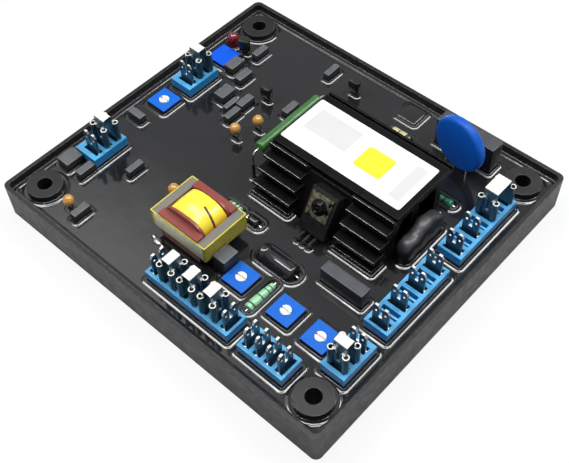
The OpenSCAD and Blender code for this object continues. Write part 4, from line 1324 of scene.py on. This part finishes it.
@dataclass
class ComponentGroup:
    """The dipped, wound and moulded components that stand out of the resin."""

    beads: tuple[tuple[float, float], ...] = ((-25.5, 14.7), (-29.1, 6.2), (-49.4, -57),
                                              (-25.1, -29.1))
    bead_z: float = 16.6
    bead_radius: float = 2.15
    disc_turn: float = -10.0
    cans: tuple[tuple[float, float, float], ...] = ((-59, 42.6, 20), (-34.1, 28.6, 0),
                                                    (-10.6, 53.3, 0))
    lobes: tuple[tuple[float, float, float], ...] = ((5.0, 3.8, 20.2), (10.0, 4.5, 19.2),
                                                     (14.5, 6.3, 22.3), (18.7, 4.5, 20.6))

    def build(self) -> None:
        """Builds every component."""
        for part in self.axials():
            part.build()
        self.bead_row()
        self.can_row()
        self.lamp()
        self.disc()
        self.lumps()
        self.rectifier()
        self.lead_sleeves()

    def axials(self) -> list[AxialPart]:
        """Lists the lying parts."""
        return [
            AxialPart("wirewound_body", "wirewound_resistor", "resistor_green", Finishes.cement,
                      -10.9, 16.35, 23.7, True, 4.6, 32.3, 3.4, smooth_end=0.9, bend=3.2,
                      profile=((-16.15, 1.0), (-14.6, 1.0), (-14.1, 0.94), (14.1, 0.94),
                               (14.6, 1.0), (16.15, 1.0))),
            AxialPart("front_banded_body", "front_banded_resistor", "resistor_pale", Finishes.pale,
                      26.3, -39.5, 10.7, True, 3.8, 12.6, 1.6, smooth_end=0.5,
                      profile=((-6.3, 0.98), (-4.9, 0.98), (-4.5, 0.8), (-4.0, 0.98),
                               (-0.8, 0.94), (-0.4, 0.76), (0.1, 0.9), (2.5, 0.84),
                               (2.8, 0.68), (3.2, 0.78), (4.3, 0.74), (4.6, 0.6),
                               (4.9, 0.7), (6.3, 0.62)),
                      bands=((-4.5, 0.5), (-0.4, 0.5), (2.8, 0.4), (4.6, 0.3))),
            AxialPart("middle_banded_body", "middle_banded_resistor", "resistor_pale",
                      Finishes.pale, -6.3, -18, 10.9, False, 3.2, 5.8, 1.6, smooth_end=0.7,
                      bands=((-1.7, 0.5), (0.2, 0.5), (1.8, 0.4))),
            AxialPart("diode_body", "front_diode", "black_epoxy", Finishes.diode, 3.1, -18.4,
                      10.9, False, 4.2, 5.2, 1.6, smooth_end=1.6),
            AxialPart("rear_banded_body", "rear_banded_resistor", "resistor_pale",
                      Finishes.cream, 16, 47.2, 11.4, False, 4.2, 9.5, 1.6, smooth_end=0.9,
                      profile=((-4.75, 0.8), (-3.2, 0.8), (-2.6, 1.0), (-0.3, 1.0), (0.1, 0.86),
                               (0.5, 1.0), (2.6, 1.0), (3.2, 0.8), (4.75, 0.8)),
                      bands=((-3.6, 1.3), (0.1, 0.5), (3.6, 1.3))),
            AxialPart("right_banded_body", "right_banded_resistor", "resistor_dark", Finishes.teal,
                      44.6, 33, 10.9, False, 3.4, 12.4, 1.6, smooth_end=0.8,
                      profile=((-6.2, 1.0), (-4.6, 1.0), (-4.1, 0.84), (4.1, 0.84), (4.6, 1.0),
                               (6.2, 1.0)),
                      bands=((-3.0, 0.8), (0.2, 1.3), (3.0, 0.8))),
            AxialPart("axial_capacitor_body", "axial_capacitor", "black_epoxy", Finishes.resin,
                      22, -26.3, 11.8, False, 7, 15.6, 1.6, smooth_end=1.2,
                      profile=((-7.8, 1.0), (-5.2, 1.0), (-4.8, 0.93), (-4.3, 1.0),
                               (7.8, 1.0))),
        ]

    def bead_row(self) -> None:
        """Builds the orange beads as drops with a short neck, on two wires each."""
        mesh, wires = bmesh.new(), bmesh.new()
        for x, y in self.beads:
            radius = self.bead_radius
            outline = [(0.0, -radius - 0.15)]
            for step in range(1, 12):
                turn = math.radians(-90 + 180 * step / 12)
                neck = 0.12 * max(0.0, -math.sin(turn))
                outline.append((radius * math.cos(turn) * (1 - neck), radius * math.sin(turn)))
            outline.append((0.0, radius))
            outline = [(a * MM, b * MM) for a, b in outline]
            lathe(mesh, outline, Matrix.Translation(at(x, y, self.bead_z)), 28)
            for side in (-1, 1):
                start = at(x + side * 0.9, y, self.bead_z - 1.6)
                bend = at(x + side * 1.25, y, self.bead_z - 3.0)
                tube(wires, arc_path([start, bend, at(x + side * 1.25, y, BOARD_TOP + 0.5)],
                                     0.8 * MM), 0.32 * MM)
        made = finish_piece(mesh, "orange_beads", Finishes.bead)
        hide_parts("tantalum_beads")
        finish_piece(wires, "bead_wires", Finishes.wire)

    def can_row(self) -> None:
        """Builds the small transistors: rounded, with one flat side and three legs."""
        mesh, wires = bmesh.new(), bmesh.new()
        for x, y, turn in self.cans:
            before = set(mesh.verts)
            made = bmesh.ops.create_cone(mesh, cap_ends=True, segments=32, radius1=2.35 * MM,
                                         radius2=2.35 * MM, depth=4.8 * MM)["verts"]
            geom = made + list({e for v in made for e in v.link_edges}) + \
                list({f for v in made for f in v.link_faces})
            cut = bmesh.ops.bisect_plane(mesh, geom=geom, plane_co=(0, -1.4 * MM, 0),
                                         plane_no=(0, -1, 0), clear_outer=True)
            edges = [g for g in cut["geom_cut"] if isinstance(g, bmesh.types.BMEdge)]
            bmesh.ops.contextual_create(mesh, geom=edges)
            made = [v for v in mesh.verts if v not in before]
            sharp = [e for e in {e for v in made for e in v.link_edges}
                     if e.is_manifold and e.calc_face_angle(0.0) > math.radians(50)]
            bmesh.ops.bevel(mesh, geom=sharp, offset=0.2 * MM, affect="EDGES", segments=2,
                            profile=0.5, material=-1, clamp_overlap=True)
            made = [v for v in mesh.verts if v not in before]
            place = Matrix.Translation(at(x, y, 15.9)) @ Matrix.Rotation(math.radians(turn), 4, "Z")
            bmesh.ops.transform(mesh, matrix=place, verts=made)
            for step in (-1, 0, 1):
                lean = Matrix.Rotation(math.radians(turn), 4, "Z") @ Vector((1.27 * step, 0, 0))
                tube(wires, [at(x + lean.x, y + lean.y, z) for z in (14.0, BOARD_TOP + 0.5)],
                     0.28 * MM)
        made = finish_piece(mesh, "small_transistor_cases", Finishes.epoxy)
        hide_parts("small_transistors")
        finish_piece(wires, "transistor_wires", Finishes.wire)

    def lamp(self) -> None:
        """Builds the indicator lamp with its dome and foot ring."""
        mesh = bmesh.new()
        outline = [(0.0, 8.0), (2.8, 8.0), (2.9, 8.1), (2.9, 8.9), (2.8, 9.0), (2.5, 9.05),
                   (2.5, 14.1)]
        for step in range(1, 9):
            turn = math.radians(90 * step / 8)
            outline.append((2.5 * math.cos(turn), 14.1 + 2.5 * math.sin(turn)))
        outline[-1] = (0.0, 16.6)
        outline = [(a * MM, b * MM) for a, b in outline]
        lathe(mesh, outline, Matrix.Translation(at(-66.8, 43.8, 0)), 40)
        made = finish_piece(mesh, "lamp_dome", Finishes.lamp)
        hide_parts("indicator_lamp")

    def disc(self) -> None:
        """Builds the varistor: a dipped disc with a rounded rim, on two wires."""
        mesh, wires = bmesh.new(), bmesh.new()
        outline = [(0.0, -1.9)]
        for step in range(14):
            turn = math.radians(-90 + 90 * (step % 7) / 6 + (90 if step > 6 else 0))
            middle = 0.5 if step > 6 else -0.5
            outline.append((9.5 + 1.4 * math.cos(turn), middle + 1.4 * math.sin(turn)))
        outline.append((0.0, 1.9))
        outline = [(a * MM, b * MM) for a, b in outline]
        turn = Matrix.Rotation(math.radians(self.disc_turn), 4, "Z")
        stand = Matrix.Rotation(math.radians(90), 4, "X")
        place = Matrix.Translation(at(41.9, 47.5, 24.85)) @ turn @ stand
        lathe(mesh, outline, place, 72)
        made = finish_piece(mesh, "varistor_disc", Finishes.varistor)
        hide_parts("varistor")
        for side in (-1, 1):
            x = 41.9 + side * 5 * math.cos(math.radians(self.disc_turn))
            y = 47.5 + side * 5 * math.sin(math.radians(self.disc_turn))
            tube(wires, [at(x, y, z) for z in (16.2, BOARD_TOP + 0.5)], 0.38 * MM)
        finish_piece(wires, "varistor_wires", Finishes.wire)

    def lumps(self) -> None:
        """Builds the dipped capacitor as a row of soft lobes under one thick skin."""
        mesh = bmesh.new()
        soft_box(mesh, at(49.15, 1.0, BOARD_TOP), at(54.85, 23.4, 22.3), 2.3 * MM, 5)
        bmesh.ops.subdivide_edges(mesh, edges=[e for e in mesh.edges if e.calc_length() > 2 * MM],
                                  cuts=8, use_grid_fill=True)
        for vert in mesh.verts:
            level = vert.co.z / MM
            if level <= RESIN:
                continue
            crest = max(height - ((vert.co.y / MM - middle) / reach) ** 2 * 3.2
                        for middle, reach, height in self.lobes)
            share = (level - RESIN) / (22.3 - RESIN)
            vert.co.z = (RESIN + (max(14.5, crest) - RESIN) * share) * MM
            pinch = 0.35 * math.sin(vert.co.y / MM * 0.95 + level * 0.5) * min(1.0, share * 2)
            vert.co.x += pinch * (52.0 - vert.co.x / MM) / 2.85 * MM * 0.8
        bmesh.ops.smooth_vert(mesh, verts=mesh.verts, factor=0.4, use_axis_x=True,
                              use_axis_y=True, use_axis_z=True)
        made = finish_piece(mesh, "lobed_dipped_body", Finishes.dipped, smooth=80)
        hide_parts("dipped_capacitor")

    def rectifier(self) -> None:
        """Builds the rectifier as a rounded block under a skin of resin."""
        mesh = bmesh.new()
        soft_box(mesh, at(8.8, 54.5, BOARD_TOP), at(17.8, 63.5, 11.9), 0.85 * MM, 4)
        made = finish_piece(mesh, "skinned_rectifier", Finishes.resin, smooth=60)
        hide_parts("bridge_rectifier")

    def lead_sleeves(self) -> None:
        """Adds the black sleeve over the lower part of the raised resistor's front wire."""
        mesh = bmesh.new()
        tube(mesh, [at(-10.9, -3.2, z) for z in (18.5, 18.2, 14.0, 10.4)], 0.62 * MM, 14)
        finish_piece(mesh, "front_wire_sleeve", Finishes.sleeve)


def footprints() -> list[Footprint]:
    """Lists the outlines that the resin climbs.

    Returns:
        One footprint for each thing that stands out of the resin.
    """
    marks = []
    for node in TerminalGroup.blocks + ("blue_film_capacitor",) + TrimmerGroup.names:
        low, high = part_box(node)
        marks.append(box_mark(low, high))
    group = CapacitorGroup()
    for x, y, size_x, size_y, _ in (*group.slim, *group.wide, group.large, group.square,
                                    group.rim):
        marks.append(Footprint(x, y, size_x, size_y, spread=2.0))
    for x, y in ComponentGroup.beads:
        marks.append(Footprint(x, y, 3.4, 1.0, corner=0.45, climb=0.9, spread=1.8))
    for x, y, turn in ComponentGroup.cans:
        marks.append(Footprint(x, y, 3.6, 1.0, turn=turn, corner=0.45, climb=0.9, spread=1.8))
    marks.append(Footprint(-66.8, 43.8, 5.8, 5.8, corner=2.89, climb=0.9, spread=1.8))
    for side_x in (-1, 1):
        for side_y in (-1, 1):
            marks.append(Footprint(side_x * 64.2, side_y * 56.55, 13.3, 13.3, corner=6.64,
                                   climb=1.6, spread=2.6))
    for part in ComponentGroup().axials()[1:]:
        long, wide = part.length + 2 * part.out, part.diameter
        size = (wide, long) if part.along_y else (long, wide)
        marks.append(Footprint(part.x, part.y, *size, corner=wide / 2 - 0.05, climb=0.5,
                               spread=2.4))
    for step in (-1, 0, 1):
        marks.append(Footprint(22.7 + 2.54 * step, -14.4, 1.1, 1.0, corner=0.48, climb=1.0,
                               spread=1.7))
    for x, y in ((-10.9, -3.2), (-10.9, 35.9)):
        marks.append(Footprint(x, y, 1.2, 1.2, corner=0.55, climb=0.9, spread=2.0))
    marks.append(Footprint(13.3, 59, 9.0, 9.0, corner=0.8, climb=0.5, spread=2.0))
    marks.append(Footprint(52, 12.2, 5.7, 22.4, corner=2.4, climb=1.4))
    for start, end in HeatsinkGroup.runs:
        marks.append(Footprint((start + end) / 2, -6.2, end - start, 6.4, corner=0.5, climb=0.5,
                               spread=2.2))
    marks.append(Footprint(21.0, 26.03, 55, 3.0, climb=1.0, spread=2.0))
    return marks


def box_mark(low: Vector, high: Vector) -> Footprint:
    """Gives the footprint of a box in metres as millimetres.

    Args:
        low: Lowest corner.
        high: Highest corner.

    Returns:
        The footprint.
    """
    middle, size = (low + high) / (2 * MM), (high - low) / MM
    return Footprint(middle.x, middle.y, size.x, size.y)


@dataclass
class Studio:
    """The camera, the lamps, the world and the pale floor."""

    azimuth: float = 44.047
    elevation: float = 52.589
    roll: float = -2.384
    place_mm: tuple[float, float, float] = (150.48, -155.40, 267.47)
    lens_px: float = 930.862
    frame_px: float = 569.0
    strip_width: float = 0.12
    strip_glow: float = 17.0

    def build(self) -> None:
        """Builds the whole setting."""
        self.camera()
        self.world()
        self.lamp("left_box", (-0.45, -0.28, 0.85), 0.72, 0.25, 0.25, 2.4)
        self.lamp("right_box", (0.36, 0.44, 0.82), 0.72, 0.25, 0.25, 2.4)
        self.lamp("top_box", (-0.07, 0.07, 1.0), 0.72, 0.15, 0.15, 0.8)
        self.strip("left_strip", (-0.265, -0.14, 0.62), (1, 0, 0), 0.31)
        self.strip("right_strip", (0.15, 0.34, 0.62), (0, 1, 0), 0.44)
        self.strip("corner_strip", (0.0, 0.0, 0.63), (1, 1, 0), 0.36)
        self.floor()

    def camera(self) -> None:
        """Sets the camera where the photograph was taken from."""
        a, e, roll = (math.radians(v) for v in (self.azimuth, self.elevation, self.roll))
        back = Vector((math.sin(a) * math.cos(e), -math.cos(a) * math.cos(e), math.sin(e)))
        right = Vector((math.cos(a), math.sin(a), 0.0))
        up = back.cross(right)
        side = right * math.cos(roll) + up * math.sin(roll)
        head = up * math.cos(roll) - right * math.sin(roll)
        data = bpy.data.cameras.new("camera")
        data.sensor_width = 36.0
        data.sensor_fit = "HORIZONTAL"
        data.lens = self.lens_px / self.frame_px * 36.0
        data.clip_start, data.clip_end = 0.01, 20.0
        made = bpy.data.objects.new("camera", data)
        bpy.context.scene.collection.objects.link(made)
        turn = Matrix((side, head, back)).transposed().to_4x4()
        made.matrix_world = Matrix.Translation(at(*self.place_mm)) @ turn
        bpy.context.scene.camera = made

    def world(self) -> None:
        """Makes a soft grey world that the camera and reflections see as white."""
        world = bpy.data.worlds.new("studio")
        bpy.context.scene.world = world
        world.use_nodes = True
        tree = world.node_tree
        tree.nodes.clear()
        path = add_node(tree, "LightPath")
        seen = add_node(tree, "Math", {"operation": "MAXIMUM"},
                        {0: path.outputs["Is Camera Ray"], 1: path.outputs["Is Transmission Ray"]})
        soft = add_node(tree, "Background", inputs={"Color": linear("#ffffff"), "Strength": 0.36})
        white = add_node(tree, "Background", inputs={"Color": linear("#ffffff"), "Strength": 1.0})
        way = add_node(tree, "TexCoord").outputs["Generated"]
        near = add_node(tree, "VectorMath", {"operation": "DOT_PRODUCT"},
                        {0: way, 1: Vector((-0.50, 0.14, 0.85)).normalized()})
        card = add_node(tree, "MapRange", {"interpolation_type": "SMOOTHSTEP"},
                        {0: near.outputs[1], 1: 0.955, 2: 0.999, 3: 0.56, 4: 2.4})
        shine = add_node(tree, "Background", inputs={"Color": linear("#ffffff"),
                                                     "Strength": card.outputs[0]})
        gloss = add_node(tree, "MixShader", inputs={0: path.outputs["Is Glossy Ray"],
                                                    1: soft.outputs[0], 2: shine.outputs[0]})
        mixed = add_node(tree, "MixShader", inputs={0: seen.outputs[0], 1: gloss.outputs[0],
                                                    2: white.outputs[0]})
        add_node(tree, "OutputWorld", inputs={"Surface": mixed.outputs[0]})

    def lamp(self, name: str, toward: tuple[float, float, float], distance: float, size_x: float,
             size_y: float, power: float) -> None:
        """Adds a softbox that points at the object.

        Args:
            name: The lamp's name.
            toward: Direction from the object to the lamp.
            distance: Distance in metres.
            size_x: Width in metres.
            size_y: Height in metres.
            power: Power in watts.
        """
        data = bpy.data.lights.new(name, "AREA")
        data.shape, data.size, data.size_y, data.energy = "RECTANGLE", size_x, size_y, power
        made = bpy.data.objects.new(name, data)
        way = Vector(toward).normalized()
        made.location = way * distance
        made.rotation_mode = "QUATERNION"
        made.rotation_quaternion = way.to_track_quat("Z", "Y")
        made.visible_glossy = False
        bpy.context.scene.collection.objects.link(made)

    def strip(self, name: str, place: tuple[float, float, float],
              along: tuple[float, float, float], length: float) -> None:
        """Adds a narrow strip light that is seen in reflections alone.

        Args:
            name: The strip's name.
            place: Centre of the strip in metres.
            along: Direction of its length.
            length: Length in metres.
        """
        data = bpy.data.lights.new(name, "AREA")
        data.shape, data.size, data.size_y = "RECTANGLE", length, self.strip_width
        data.energy = math.pi * length * self.strip_width * self.strip_glow
        made = bpy.data.objects.new(name, data)
        way = Vector(place).normalized()
        run = Vector(along) - way * way.dot(Vector(along))
        run.normalize()
        made.location = place
        made.rotation_mode = "QUATERNION"
        made.rotation_quaternion = Matrix((run, way.cross(run), way)).transposed().to_quaternion()
        made.visible_diffuse = False
        bpy.context.scene.collection.objects.link(made)

    def floor(self) -> None:
        """Lays a pale floor that the camera sees as white apart from the object's shadow."""
        mesh = bmesh.new()
        bmesh.ops.create_grid(mesh, x_segments=1, y_segments=1, size=6.0)
        data = bpy.data.meshes.new("floor")
        mesh.to_mesh(data)
        mesh.free()
        made = bpy.data.objects.new("floor", data)
        made.location.z = -0.0001
        bpy.context.scene.collection.objects.link(made)
        material = bpy.data.materials.new("pale_floor")
        material.use_nodes = True
        tree = material.node_tree
        tree.nodes.clear()
        path = add_node(tree, "LightPath")
        paint = add_node(tree, "BsdfDiffuse", inputs={"Color": linear("#f4f4f4")})
        glow = add_node(tree, "Emission", inputs={"Color": linear("#ffffff"), "Strength": 1.0})
        share = add_node(tree, "Math", {"operation": "MULTIPLY"},
                         {0: path.outputs["Is Camera Ray"], 1: 0.86})
        mixed = add_node(tree, "MixShader", inputs={0: share.outputs[0], 1: paint.outputs[0],
                                                    2: glow.outputs[0]})
        add_node(tree, "OutputMaterial", inputs={"Surface": mixed.outputs[0]})
        data.materials.append(material)


def main() -> None:
    """Builds the setting and every piece, in order."""
    logging.basicConfig(level=logging.INFO, format="%(name)s %(message)s")
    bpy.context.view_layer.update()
    bpy.context.scene.view_settings.view_transform = "Standard"
    groups: list[tuple[str, Callable[[], None]]] = [
        ("studio", Studio().build),
        ("enclosure", Enclosure(footprints()).build),
        ("heatsink", HeatsinkGroup().build),
        ("transformer", TransformerGroup().build),
        ("terminals", TerminalGroup().build),
        ("trimmers", TrimmerGroup().build),
        ("capacitors", CapacitorGroup().build),
        ("components", ComponentGroup().build),
    ]
    for name, build in groups:
        build()
        LOG.info("group %s done", name)


if __name__ == "__main__":
    main()
